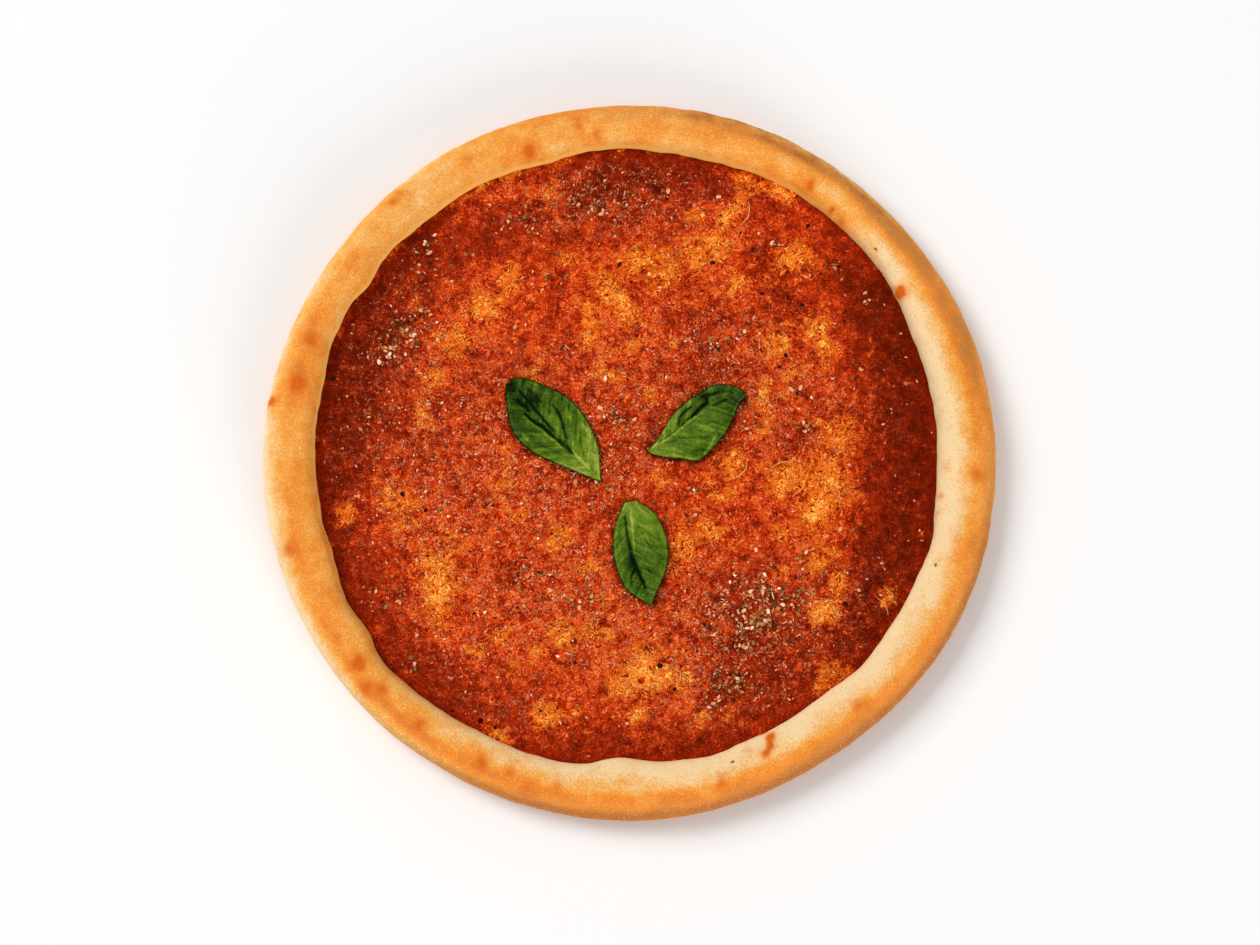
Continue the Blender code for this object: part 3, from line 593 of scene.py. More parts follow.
def dough_material(look):
    """Baked wheat dough: dry and matt, pale where it puffed, browned where it met the heat, with painted
    highlights where the rim faces the key light and painted light on its shaded inner wall.
    """
    material, tree, shader = new_material("baked_wheat_dough")
    place = add_node(tree, "ShaderNodeTexCoord").outputs["Object"]
    cloud = noise_value(tree, place, 5, 4, 0.6)
    # Flour grain and crumb skin are finer than a pixel; drawn at 0.8 mm so that they show
    grain = noise_value(tree, place, 0.8, 2, 0.6)
    bake = attribute(tree, "bake")
    spot = attribute(tree, "spot")
    toast = attribute(tree, "toast")
    stain = attribute(tree, "stain")
    # The grain is browned most where the heat was strongest, and least where the rim is painted pale as lit
    # by the key light
    baked_grain = product(tree, bake, grain)
    browned = weighted(tree, -0.56, (bake, 0.56), (cloud, 0.42), (grain, 0.60), (baked_grain, 0.94))
    base = ramp(tree, browned, ((0.0, look.pale), (0.40, look.golden), (0.70, look.orange),
                                (1.0, look.brown)))
    crusty = weighted(tree, -0.50, (spot, 1.25), (cloud, 0.6), (grain, 0.5))
    crust_part = product(tree, crusty, spot, clamp=True)
    spotted = add_node(tree, "ShaderNodeMix", {0: crust_part, 6: base, 7: rgba(look.spot)},
                       data_type="RGBA", clamp_factor=True).outputs[2]
    speckled = weighted(tree, -1.55, (toast, 1.2), (grain, 2.8))
    # Each grain of the toast has its own shade, from umber to straw
    shade = weighted(tree, 0.50 - 0.95, (grain, 1.9), (toast, -0.38))
    grains = ramp(tree, shade, ((0.0, linear("#723C1D")), (0.25, linear("#AA6933")), (0.45, look.toast),
                                (0.65, linear("#D8A267"))))
    toasted = add_node(tree, "ShaderNodeMix", {0: speckled, 6: spotted, 7: grains},
                       data_type="RGBA", clamp_factor=True).outputs[2]
    # Pale oily yellow at the foot of the inner wall: partly oil from the sauce, and towards the key light
    # mostly painted light on the wall that lies in shade
    oily = add_node(tree, "ShaderNodeMix", {0: stain, 6: toasted, 7: rgba(linear("#FFC060"))},
                    data_type="RGBA").outputs[2]
    tree.links.new(oily, shader.inputs["Base Color"])
    shader.inputs["Roughness"].default_value = 0.75
    shader.inputs["Specular IOR Level"].default_value = 0.15
    # Light passes a few millimetres through the crumb and warms the shaded side
    shader.inputs["Subsurface Weight"].default_value = 0.5
    shader.inputs["Subsurface Radius"].default_value = (1.0, 0.5, 0.2)
    shader.inputs["Subsurface Scale"].default_value = 6 * MM
    relief = weighted(tree, 0.0, (grain, 0.6), (cloud, 0.4))
    bump = add_node(tree, "ShaderNodeBump", {"Height": relief, "Strength": 0.9, "Distance": 0.5 * MM})
    tree.links.new(bump.outputs["Normal"], shader.inputs["Normal"])
    return material


class PIZZA_OT_crust(bpy.types.Operator):
    """Makes the base and the puffed, browned rim"""
    bl_idname = "pizza.crust"
    bl_label = "Crust"

    def execute(self, context):
        look = context.scene.pizza_crust
        rows = rim_rows()
        grid = np.array([np.stack([r * np.cos(ANGLES), r * np.sin(ANGLES), z], 1) for r, z, _ in rows])
        place = np.repeat([p for _, _, p in rows], TURNS)
        round_way = np.roll(grid, -1, 1) - np.roll(grid, 1, 1)
        row_way = np.gradient(grid, axis=0)
        normals = np.cross(round_way, row_way).reshape(-1, 3)
        normals /= np.maximum(np.linalg.norm(normals, axis=1, keepdims=True), 1e-12)
        points = grid.reshape(-1, 3)
        spot, halo = rim_spots(points)
        toast = rim_toast(points, place)
        skin = smooth(-np.abs(place - 0.68), -0.72, -0.5)
        lift = look.puff * rough(points, 9 * MM, 11) + 0.35 * look.puff * rough(points, 3.6 * MM, 12)
        lift += look.grain * rough(points, 1.4 * MM, 13) * (1 + 1.5 * toast) + look.blister * spot * 0.8
        points = points + normals * (lift * skin)[:, None]
        below = place > 1.5
        points[below, 2] += (0.25 * MM * smooth(rough(points[below], 6 * MM, 14), 0, 0.6)
                             * smooth(place[below], 1.5, 1.6))
        bake = np.clip(rim_browning_and_painted_light(points, place) + 0.18 * halo, 0, 1)
        dusty = smooth(rough(points, 11 * MM, 15) + 0.4 * rough(points, 3 * MM, 16), -0.1, 0.5)
        bake = np.where(below, 0.12 + 0.75 * dusty * smooth(place, 1.5, 1.55), bake)
        height = points[:, 2]
        # Oil from the sauce yellows the foot of the inner wall; towards the key light, where the wall faces
        # away from the lamp and lies in shade, the yellow is mostly painted light
        shaded_wall_side = smooth(np.cos(np.arctan2(points[:, 1], points[:, 0]) - 2.4), -0.2, 0.4)
        ragged = rough(points, 3.5 * MM, 17)
        stain_top = SAUCE_TOP + (7 + 2 * ragged) * MM
        stain = (1 - smooth(place, 0.18, 0.36)) * (1 - smooth(height, SAUCE_TOP + 3 * MM, stain_top))
        stain = np.where(place < 1, stain * (0.05 + 0.9 * shaded_wall_side), 0)
        faces = []
        for row in range(len(rows) - 1):
            faces += band(row * TURNS, (row + 1) * TURNS, TURNS)
        middle_below, middle_above = len(points), len(points) + 1
        last = (len(rows) - 1) * TURNS
        faces += [(middle_below, (k + 1) % TURNS, k) for k in range(TURNS)]
        faces += [(last + k, last + (k + 1) % TURNS, middle_above) for k in range(TURNS)]
        points = np.vstack([points, [0, 0, 0], [0, 0, BASE_TOP]])
        two = [0.2, 0.2]
        piece = new_piece("baked_crust", points, faces, dough_material(look), bake=np.append(bake, two),
                          spot=np.append(spot, [0, 0]), toast=np.append(toast, [0, 0]),
                          stain=np.append(stain, [0, 0]))
        settle(piece, "baked_dough", "crust")
        return {"FINISHED"}


def leaf_shadow(points):
    """Where the sauce lies under a basil leaf or within a millimetre of one, from 0 to 1."""
    shade = np.zeros(len(points))
    for leaf in LEAVES:
        stem, along, right, reach = leaf_frame(leaf)
        away = points[:, :2] - stem
        part = away @ along / reach
        beside = away @ right / MM
        station = np.arccos(np.clip(1 - 2 * part, -1, 1)) / math.pi
        over = np.maximum(beside - between(leaf["right"], station), between(leaf["left"], station) - beside)
        over = np.maximum(over, np.maximum(-part, part - 1) * reach / MM)
        shade = np.maximum(shade, 1 - smooth(over, 0.2, 1.9))
    return shade


def sauce_fields(points):
    """Cheese, glow and dark values of the topping at each point from 0 to 1, and mm from the rim."""
    flat = points * (1, 1, 0)
    warp = np.stack([rough(flat, 6 * MM, 21), rough(flat, 6 * MM, 22), 0 * flat[:, 0]], 1)
    fine = np.stack([rough(flat, 2.2 * MM, 23), rough(flat, 2.2 * MM, 24), 0 * flat[:, 0]], 1)
    bent = flat + 2.0 * MM * warp + 0.9 * MM * fine
    cheese = soft_patches(bent, CHEESE)
    halo = [(x, y, 6 + 1.7 * long, 6 + 1.7 * wide, turn, 0.55 * amount)
            for x, y, long, wide, turn, amount in CHEESE]
    unlit = 1 - soft_patches(flat + 3.5 * MM * warp, halo)
    glow = 1 - (1 - soft_patches(flat + 6 * MM * warp, GLOW)) * unlit
    dark = soft_patches(flat + 6 * MM * warp, BAKED_DARK)
    inward = (foot_radius(flat) - np.hypot(flat[:, 0], flat[:, 1])) / MM
    dark = np.maximum(dark, 0.4 * (1 - smooth(inward, 0.3, 4)))
    dark = dark + 0.9 * leaf_shadow(flat)
    return cheese, glow, dark, inward


def sauce_height(points, cheese, lump):
    """Height of the topping's surface: slow swell, lumps, and cheese that lifts it."""
    flat = points * (1, 1, 0)
    level = SAUCE_TOP + SAUCE_SWELL * rough(flat, SAUCE_SPACING)
    bumps = rough(flat, 8 * MM, 31) + 0.5 * rough(flat, 3.5 * MM, 32) + 0.28 * rough(flat, 1.7 * MM, 33)
    return level + lump * bumps + 0.35 * MM * cheese


def step_between(tree, value, low, high):
    """0 up to low, 1 from high, and a soft step between."""
    return add_node(tree, "ShaderNodeMapRange", {"Value": value, "From Min": low, "From Max": high},
                    interpolation_type="SMOOTHSTEP").outputs[0]


def threads(tree, place, spacing, seed):
    """Thin curling lines broken into short bits, and the grooves beside them, each from 0 to 1."""
    curl = add_node(tree, "ShaderNodeTexNoise", {"Vector": place, "W": seed, "Scale": 1 / spacing,
                                                 "Detail": 1, "Roughness": 0.5},
                    noise_dimensions="4D").outputs["Fac"]
    broken = add_node(tree, "ShaderNodeTexNoise", {"Vector": place, "W": seed + 5, "Scale": 0.9 / spacing,
                                                   "Detail": 0}, noise_dimensions="4D").outputs["Fac"]
    away = add_node(tree, "ShaderNodeMath", {0: curl, 1: 0.5}, operation="SUBTRACT").outputs[0]
    away = add_node(tree, "ShaderNodeMath", {0: away}, operation="ABSOLUTE").outputs[0]
    bits = step_between(tree, broken, 0.44, 0.54)
    thread = product(tree, step_between(tree, away, 0.055, 0.020), bits)
    beside = product(tree, step_between(tree, away, 0.050, 0.080), step_between(tree, away, 0.150, 0.100))
    groove_shade = product(tree, beside, bits)
    return thread, groove_shade


def topping_material(name, roughness):
    """Baked tomato pulp with melted cheese in it: moist, fibrous, orange where cheese shows.

    The cheese melts into the pulp with torn edges and dark holes. Short curling threads of
    skin and cheese lie in both, lighter than the pulp and pale where the grit is, with a darker
    furrow beside each: partly their own colour, partly painted highlight and painted shade.
    """
    material, tree, shader = new_material(name)
    place = add_node(tree, "ShaderNodeTexCoord").outputs["Object"]
    cheese = attribute(tree, "cheese")
    glow = attribute(tree, "glow")
    dark = attribute(tree, "dark")
    grit = attribute(tree, "grit")
    # A slow drift bends the threads
    drift = add_node(tree, "ShaderNodeTexNoise", {"Vector": place, "Scale": 1 / (4 * MM),
                                                  "Detail": 1}).outputs["Color"]
    bent = add_node(tree, "ShaderNodeVectorMath", {0: drift, 1: (4 * MM, 4 * MM, 0), 2: place},
                    operation="MULTIPLY_ADD").outputs[0]
    cloud = noise_value(tree, place, 7, 4, 0.6)
    clump = noise_value(tree, bent, 2.2, 2, 0.6)
    # Tomato pulp is a fine grain; 0.8 mm is the finest that shows
    grain = noise_value(tree, place, 0.8, 1, 0.6)
    thread, groove_shade = threads(tree, bent, 1.7 * MM, 1.0)
    fine_thread, fine_groove_shade = threads(tree, bent, 1.1 * MM, 2.0)
    # The pulp is smooth where it baked to a skin, and lively where cheese or grit is near
    lively = weighted(tree, 0.52, (glow, 0.75), (grit, 0.25))
    # The threads are lighter and the furrows beside them darker: partly the colour of skin and cheese, partly
    # painted highlight and painted shade of their relief
    uneven = weighted(tree, -0.5 * (1.15 + 0.7 + 0.9), (cloud, 1.15), (clump, 0.7), (grain, 0.9),
                      (thread, 0.22), (groove_shade, -0.13))
    mottled = product(tree, uneven, lively)
    tone = weighted(tree, 0.46, (mottled, 1.0), (dark, -0.27), (glow, 0.34))
    sauce_shades = ((0.00, "#410902"), (0.20, "#611403"), (0.35, "#7E1B05"), (0.50, "#9E2708"),
                    (0.63, "#C3370E"), (0.78, "#E84F1A"), (0.95, "#FF7E3F"))
    pulp = ramp(tree, tone, [(stop, linear(code)) for stop, code in sauce_shades])
    # Thick cheese pulled apart into shreds, with dark holes between them
    holes = product(tree, step_between(tree, clump, 0.44, 0.32), cheese)
    melt = weighted(tree, 0.345 - 0.5 * (0.6 + 0.7 + 0.6), (cloud, 0.6), (clump, 0.7), (grain, 0.6),
                    (thread, 0.30), (groove_shade, -0.30), (fine_thread, 0.22), (fine_groove_shade, -0.22),
                    (cheese, 0.46), (dark, -0.15), (holes, -0.42))
    cheese_shades = ((0.00, "#5A1002"), (0.18, "#952A03"), (0.34, "#C2460A"), (0.50, "#DE5B13"),
                     (0.65, "#F17321"), (0.80, "#FF9331"), (1.00, "#FFC558"))
    melted = ramp(tree, melt, [(stop, linear(code)) for stop, code in cheese_shades])
    torn = weighted(tree, -0.5 * (1.5 + 0.7), (cheese, 1.0), (glow, 0.30), (cloud, 1.5), (clump, 0.7))
    mixed = add_node(tree, "ShaderNodeMix", {0: step_between(tree, torn, 0.17, 0.58), 6: pulp, 7: melted},
                     data_type="RGBA").outputs[2]
    # Where the grit lies, the threads show as pale dashes with dark lines beside them: partly dried pulp,
    # partly painted highlights and painted shade
    clustered = product(tree, step_between(tree, clump, 0.40, 0.58), grit)
    strong = product(tree, clustered, 1.7, clamp=True)
    groove_shade_lines = product(tree, fine_groove_shade, strong)
    outlined = add_node(tree, "ShaderNodeMix", {0: groove_shade_lines, 6: mixed, 7: rgba(linear("#410F03"))},
                        data_type="RGBA", clamp_factor=True).outputs[2]
    pale = product(tree, fine_thread, strong)
    flecked = add_node(tree, "ShaderNodeMix", {0: pale, 6: outlined, 7: rgba(linear("#E3956A"))},
                       data_type="RGBA", clamp_factor=True).outputs[2]
    tree.links.new(flecked, shader.inputs["Base Color"])
    shader.inputs["Roughness"].default_value = roughness
    shader.inputs["Specular IOR Level"].default_value = 0.04
    shader.inputs["Specular Tint"].default_value = rgba(linear("#FFB070"))
    relief = weighted(tree, 0.0, (clump, 0.9), (grain, 0.35), (thread, 0.15), (fine_thread, 0.12))
    bump = add_node(tree, "ShaderNodeBump", {"Height": relief, "Strength": 0.8, "Distance": 0.8 * MM})
    tree.links.new(bump.outputs["Normal"], shader.inputs["Normal"])
    return material


def ring_disc(rings):
    """Unit disc of evenly spread points: ring k has 6 k of them. Gives points and faces."""
    points = [(0.0, 0.0)]
    faces = []
    start = {0: 0}
    for ring in range(1, rings + 1):
        start[ring] = len(points)
        turns = 2 * math.pi * np.arange(6 * ring) / (6 * ring)
        points += list(zip(ring / rings * np.cos(turns), ring / rings * np.sin(turns)))
        inner_count = max(6 * (ring - 1), 1)
        for side in range(6):
            for step in range(ring):
                outer = start[ring] + side * ring + step
                outer_next = start[ring] + (side * ring + step + 1) % (6 * ring)
                inner = start[ring - 1] + (side * (ring - 1) + step) % inner_count
                faces.append((inner, outer, outer_next))
                if step < ring - 1:
                    inner_next = start[ring - 1] + (side * (ring - 1) + step + 1) % inner_count
                    faces.append((inner, outer_next, inner_next))
    return np.array(points), faces


class PIZZA_OT_sauce(bpy.types.Operator):
    """Makes the bed of tomato sauce, which reaches just into the rim's inner wall"""
    bl_idname = "pizza.sauce"
    bl_label = "Tomato sauce"

    def execute(self, context):
        look = context.scene.pizza_topping
        disc, faces = ring_disc(SAUCE_RINGS)
        spread = np.hypot(disc[:, 0], disc[:, 1])
        flat = np.column_stack([disc, 0 * spread])
        reach = foot_radius(np.where(spread[:, None] > 0, flat, (1, 0, 0))) + 1.0 * MM
        points = flat * reach[:, None]
        cheese, glow, dark, inward = sauce_fields(points)
        points[:, 2] = sauce_height(points, cheese, look.lump)
        oily = smooth(np.cos(np.arctan2(points[:, 1], points[:, 0]) - 2.2), 0.5, 0.9)
        climb = 1 - smooth(inward, 0.0, 3.5)
        points[:, 2] += climb * (0.25 + 0.45 * oily) * MM
        cheese = np.clip(cheese + 0.18 * oily * (1 - smooth(inward, 0.5, 4)), 0, 1)
        strewn = soft_patches(points, GRITTY) * (1 + 0.5 * rough(points, 5 * MM, 41)) * (1 - 0.45 * cheese)
        patchy = 0.62 * strewn * (1 + 1.2 * rough(points, 2.6 * MM, 43)) + 0.05
        grit = np.clip(patchy, 0, 1) * smooth(inward, 1.5, 6)
        herbs = soft_patches(points, HERBS) * smooth(inward, 2, 5)
        herbs = np.clip(herbs * (1 + 0.9 * rough(points, 3 * MM, 42)), 0, 1) + 0.012 * smooth(inward, 2, 5)
        # Painted shade: the sauce is darker under the oregano heaps, where the flakes shade it
        dark = dark + 0.5 * soft_patches(points, HERBS) * (1 + 0.8 * rough(points, 2.5 * MM, 44))
        soot = (0.35 + glow + 0.6 * cheese) * smooth(inward, 1.5, 5)
        rim = 6 * SAUCE_RINGS
        first = len(points) - rim
        floor = points[first:] * (1, 1, 0) + (0, 0, SAUCE_FLOOR)
        faces = list(faces) + band(len(points), first, rim)
        middle = len(points) + rim
        faces += [(middle, len(points) + (k + 1) % rim, len(points) + k) for k in range(rim)]
        points = np.vstack([points, floor, [0, 0, SAUCE_FLOOR]])
        extra = np.zeros(rim + 1)
        values = {"cheese": cheese, "glow": glow, "dark": dark, "grit": grit, "herbs": herbs, "soot": soot}
        values = {key: np.append(value, extra) for key, value in values.items()}
        piece = new_piece("tomato_sauce_bed", points, faces, topping_material("baked_tomato_sauce", 0.42),
                          **values)
        settle(piece, "tomato_sauce", "sauce")
        return {"FINISHED"}


def pool_outline(name):
    """Middle of a cheese pool, and its radius at each of the fine mesh's turns."""
    low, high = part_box(name)
    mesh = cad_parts[name].data
    foot = np.array([vertex.co for vertex in mesh.vertices])
    foot = foot[foot[:, 2] < low.z + 0.05 * MM][:, :2]
    middle = np.array([(low.x + high.x) / 2, (low.y + high.y) / 2])
    away = foot - middle
    far = np.hypot(away[:, 0], away[:, 1])
    edge = far > 1.5 * MM
    directions = np.arctan2(away[edge, 1], away[edge, 0]) % (2 * math.pi)
    order = np.argsort(directions)
    turns = 2 * math.pi * np.arange(POOL_TURNS) / POOL_TURNS
    radii = np.interp(turns, directions[order], far[edge][order], period=2 * math.pi)
    return middle, turns, (radii + np.roll(radii, 1) + np.roll(radii, -1)) / 3, low.z


class PIZZA_OT_cheese(bpy.types.Operator):
    """Makes the pools of melted cheese and the strands that stand up from them"""
    bl_idname = "pizza.cheese"
    bl_label = "Melted cheese"

    def execute(self, context):
        look = context.scene.pizza_topping
        names = sorted(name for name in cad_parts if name.startswith("cheese"))
        points, faces = [], []
        for name in names:
            middle, turns, radii, floor = pool_outline(name)
            start = len(points)
            for part in (1.0, *np.linspace(1.0, 1 / POOL_RINGS, POOL_RINGS)):
                x = middle[0] + part * radii * np.cos(turns)
                y = middle[1] + part * radii * np.sin(turns)
                points += list(zip(x, y, np.full(POOL_TURNS, part)))
            for row in range(POOL_RINGS):
                faces += band(start + row * POOL_TURNS, start + (row + 1) * POOL_TURNS, POOL_TURNS)
            points += [(*middle, 0.0), (*middle, -1.0)]
            last = start + POOL_RINGS * POOL_TURNS
            top, bottom = len(points) - 2, len(points) - 1
            for k in range(POOL_TURNS):
                after = (k + 1) % POOL_TURNS
                faces.append((last + k, last + after, top))
                faces.append((bottom, start + after, start + k))
        points = np.array(points)
        part = points[:, 2].copy()
        points[:, 2] = 0
        cheese, glow, dark, inward = sauce_fields(points)
        surface = sauce_height(points, cheese, look.lump)
        rise = -0.4 * MM + (0.4 * MM + look.pool_rise) * smooth(1 - part, 0.02, 0.8)
        folds = 1 - np.abs(rough(points, 3.4 * MM, 51) + 0.5 * rough(points, 1.6 * MM, 52)) * 2.2
        rise += 0.30 * MM * np.clip(folds, 0, 1) ** 2 * smooth(1 - part, 0.1, 0.35)
        points[:, 2] = surface + rise
        per_pool = (POOL_RINGS + 1) * POOL_TURNS + 2
        for start in range(0, len(points), per_pool):
            points[start:start + POOL_TURNS, 2] = floor
            points[start + per_pool - 1, 2] = floor
        fold_glow = 0.20 * np.clip(folds, 0, 1) ** 2 * smooth(1 - part, 0.05, 0.5)
        cheese = np.clip(cheese + fold_glow, 0, 1)
        grit = 0.10 + 0 * part
        piece = new_piece("melted_cheese_pools", points, faces, topping_material("melted_cheese", 0.38),
                          cheese=cheese, glow=glow, dark=dark, grit=grit)
        settle(piece, "melted_cheese", *names)
        self.strands(look)
        return {"FINISHED"}

    def strands(self, look):
        """Thin ridges of cheese, one tube along each row of points, half sunk in the sauce."""
        sides = 6
        points, faces = [], []
        for number, strand in enumerate(STRANDS):
            corners = (np.array(strand, float) + OFF_MIDDLE) * MM
            steps = np.linspace(0, len(corners) - 1, 10 * len(corners))
            path = np.stack([np.interp(steps, range(len(corners)), corners[:, axis]) for axis in (0, 1)], 1)
            for _ in range(30):
                path[1:-1] = (path[:-2] + 2 * path[1:-1] + path[2:]) / 4
            path = np.column_stack([path, np.zeros(len(path))])
            path[:, :2] += 0.2 * MM * np.stack([rough(path, 2 * MM, 61), rough(path, 2 * MM, 62)], 1)
            cheese = sauce_fields(path)[0]
            path[:, 2] = sauce_height(path, cheese, look.lump) - 0.02 * MM
            ahead = np.gradient(path, axis=0) * (1, 1, 0)
            ahead /= np.linalg.norm(ahead, axis=1, keepdims=True)
            aside = np.stack([-ahead[:, 1], ahead[:, 0], 0 * ahead[:, 0]], 1)
            along = np.linspace(0, 1, len(path))
            taper = (0.06 + 0.22 * np.sin(math.pi * along)) * MM
            thick = taper * (1 + 0.4 * rough(path, 1.5 * MM, 63 + number))
            start = len(points)
            for here in range(len(path)):
                for side in range(sides):
                    turn = 2 * math.pi * side / sides
                    offset = aside[here] * math.cos(turn) + np.array([0, 0, 1]) * math.sin(turn)
                    points.append(path[here] + offset * thick[here])
            for row in range(len(path) - 1):
                faces += band(start + (row + 1) * sides, start + row * sides, sides)
            faces.append(tuple(start + k for k in range(sides)))
            faces.append(tuple(start + (len(path) - 1) * sides + k for k in reversed(range(sides))))
        points = np.array(points)
        full = np.full(len(points), 0.40)
        piece = new_piece("cheese_strands", points, faces, bpy.data.materials["melted_cheese"],
                          cheese=full, glow=full, dark=0 * full, grit=0 * full)
        settle(piece, "melted_cheese")


def chip(name, long, wide, thick, curl, seed):
    """A small ragged, curled chip about one unit long, with both faces and a rim."""
    draw = random.Random(seed)
    sides = 7
    outline = []
    for k in range(sides):
        angle = 2 * math.pi * (k + draw.uniform(-0.25, 0.25)) / sides
        reach = draw.uniform(0.36, 0.52)
        outline.append((long * reach * math.cos(angle), wide * reach * math.sin(angle)))
    points = []
    for level in (-thick / 2, thick / 2):
        for x, y in outline:
            points.append((x, y, level + curl * (y / wide) ** 2 + 0.15 * curl * math.sin(7 * x)))
        points.append((0, 0, level))
    faces = []
    for k in range(sides):
        after = (k + 1) % sides
        faces.append((sides, after, k))
        faces.append((2 * sides + 1, sides + 1 + k, sides + 1 + after))
        faces.append((k, after, sides + 1 + after, sides + 1 + k))
    mesh = bpy.data.meshes.new(name)
    mesh.from_pydata(points, [], faces)
    return bpy.data.objects.new(name, mesh)


def sliver(name, wide, thick, seed):
    """A grain of eight faces, one unit long, pointed at both ends."""
    draw = random.Random(seed)
    shift = draw.uniform(-0.15, 0.15)
    points = [(-0.5, 0, 0), (0.5, 0.1 * draw.uniform(-1, 1), 0), (shift, -wide / 2, 0), (shift, wide / 2, 0),
              (0, 0, -thick / 2), (0, 0, thick / 2)]
    faces = [(5, 0, 2), (5, 2, 1), (5, 1, 3), (5, 3, 0), (4, 2, 0), (4, 1, 2), (4, 3, 1), (4, 0, 3)]
    mesh = bpy.data.meshes.new(name)
    mesh.from_pydata(points, [], faces)
    return bpy.data.objects.new(name, mesh)


def crumb(name, long, wide, thick, seed):
    """A lumpy grain about one unit long."""
    draw = random.Random(seed)
    golden = (1 + math.sqrt(5)) / 2
    corners = [(0, s, t * golden) for s in (-1, 1) for t in (-1, 1)]
    corners += [(s, t * golden, 0) for s in (-1, 1) for t in (-1, 1)]
    corners += [(t * golden, 0, s) for s in (-1, 1) for t in (-1, 1)]
    points = []
    for corner in corners:
        unit = Vector(corner).normalized() * 0.5 * draw.uniform(0.75, 1.15)
        points.append((unit.x * long, unit.y * wide, unit.z * thick))
    mesh = bpy.data.meshes.new(name)
    hull = [(a, b, c) for a in range(12) for b in range(a + 1, 12) for c in range(b + 1, 12)
            if all(abs((Vector(corners[i]) - Vector(corners[j])).length - 2) < 0.01
                   for i, j in ((a, b), (b, c), (a, c)))]
    faces = []
    for a, b, c in hull:
        pa, pb, pc = (Vector(corners[i]) for i in (a, b, c))
        outward = (pb - pa).cross(pc - pa).dot(pa) > 0
        faces.append((a, b, c) if outward else (a, c, b))
    mesh.from_pydata(points, [], faces)
    return bpy.data.objects.new(name, mesh)


def scatter_tree():
    """Geometry Nodes: strews the members of a collection over a surface, each turned and sized by chance."""
    tree = bpy.data.node_groups.new("strewn_topping", "GeometryNodeTree")
    tree.interface.new_socket("Geometry", in_out="OUTPUT", socket_type="NodeSocketGeometry")
    for label, kind in (("Geometry", "Geometry"), ("Pieces", "Collection"), ("Where", "String"),
                        ("Density", "Float"), ("Smallest", "Float"), ("Largest", "Float"),
                        ("Tilt", "Float"),
                        ("Rise", "Float"), ("Seed", "Int"), ("Finish", "Material")):
        tree.interface.new_socket(label, in_out="INPUT", socket_type="NodeSocket" + kind)
    given = tree.nodes.new("NodeGroupInput").outputs
    where = add_node(tree, "GeometryNodeInputNamedAttribute", {"Name": given["Where"]}, data_type="FLOAT")
    density = add_node(tree, "ShaderNodeMath", {0: given["Density"], 1: where.outputs["Attribute"]},
                       operation="MULTIPLY")
    points = add_node(tree, "GeometryNodeDistributePointsOnFaces",
                      {"Mesh": given["Geometry"], "Density": density.outputs[0], "Seed": given["Seed"]})
    lifted = add_node(tree, "ShaderNodeCombineXYZ", {"Z": given["Rise"]})
    placed = add_node(tree, "GeometryNodeSetPosition",
                      {"Geometry": points.outputs["Points"], "Offset": lifted.outputs[0]})
    members = add_node(tree, "GeometryNodeCollectionInfo",
                       {"Collection": given["Pieces"], "Separate Children": True, "Reset Children": True})
    back = add_node(tree, "ShaderNodeMath", {0: given["Tilt"], 1: -1.0}, operation="MULTIPLY")
    low = add_node(tree, "ShaderNodeCombineXYZ", {"X": back.outputs[0], "Y": back.outputs[0]})
    high = add_node(tree, "ShaderNodeCombineXYZ", {"X": given["Tilt"], "Y": given["Tilt"], "Z": 2 * math.pi})
    turned = add_node(tree, "FunctionNodeRandomValue", {0: low.outputs[0], 1: high.outputs[0],
                                                        "Seed": given["Seed"]}, data_type="FLOAT_VECTOR")
    sized = add_node(tree, "FunctionNodeRandomValue", {2: given["Smallest"], 3: given["Largest"],
                                                       "Seed": given["Seed"]}, data_type="FLOAT")
    strewn = add_node(tree, "GeometryNodeInstanceOnPoints",
                      {"Points": placed.outputs[0], "Instance": members.outputs[0], "Pick Instance": True,
                       "Rotation": turned.outputs[0], "Scale": sized.outputs[1]})
    shade = add_node(tree, "FunctionNodeRandomValue", {"Seed": 9}, data_type="FLOAT")
    marked = add_node(tree, "GeometryNodeStoreNamedAttribute",
                      {"Geometry": strewn.outputs[0], "Name": "shade", "Value": shade.outputs[1]},
                      data_type="FLOAT", domain="INSTANCE")
    real = add_node(tree, "GeometryNodeRealizeInstances", {"Geometry": marked.outputs[0]})
    finished = add_node(tree, "GeometryNodeSetMaterial",
                        {"Geometry": real.outputs[0], "Material": given["Finish"]})
    tree.links.new(finished.outputs[0], add_node(tree, "NodeGroupOutput").inputs[0])
    return tree


def strew(name, slot, shapes, finish, **inputs):
    """Strews small shapes over the sauce and keeps the result as a plain mesh."""
    tree = bpy.data.node_groups.get("strewn_topping") or scatter_tree()
    bed = bpy.data.objects["tomato_sauce_bed"]
    group = bpy.data.collections.new(name + "_shapes")
    for shape in shapes:
        group.objects.link(shape)
    worker = bpy.data.objects.new(name + "_bed", bed.data)
    bpy.context.scene.collection.objects.link(worker)
    modifier = worker.modifiers.new("strewn", "NODES")
    modifier.node_group = tree
    sockets = {item.name: item.identifier for item in tree.interface.items_tree if item.in_out == "INPUT"}
    for label, value in {"Pieces": group, "Finish": finish, **inputs}.items():
        modifier[sockets[label]] = value
    graph = bpy.context.evaluated_depsgraph_get()
    mesh = bpy.data.meshes.new_from_object(worker.evaluated_get(graph), preserve_all_data_layers=True,
                                           depsgraph=graph)
    mesh.name = name
    worker.modifiers.remove(modifier)
    bpy.data.objects.remove(worker)
    for shape in shapes:
        bpy.data.objects.remove(shape)
    bpy.data.collections.remove(group)
    piece = bpy.data.objects.new(name, mesh)
    bpy.context.scene.collection.objects.link(piece)
    settle(piece, slot)
    return piece


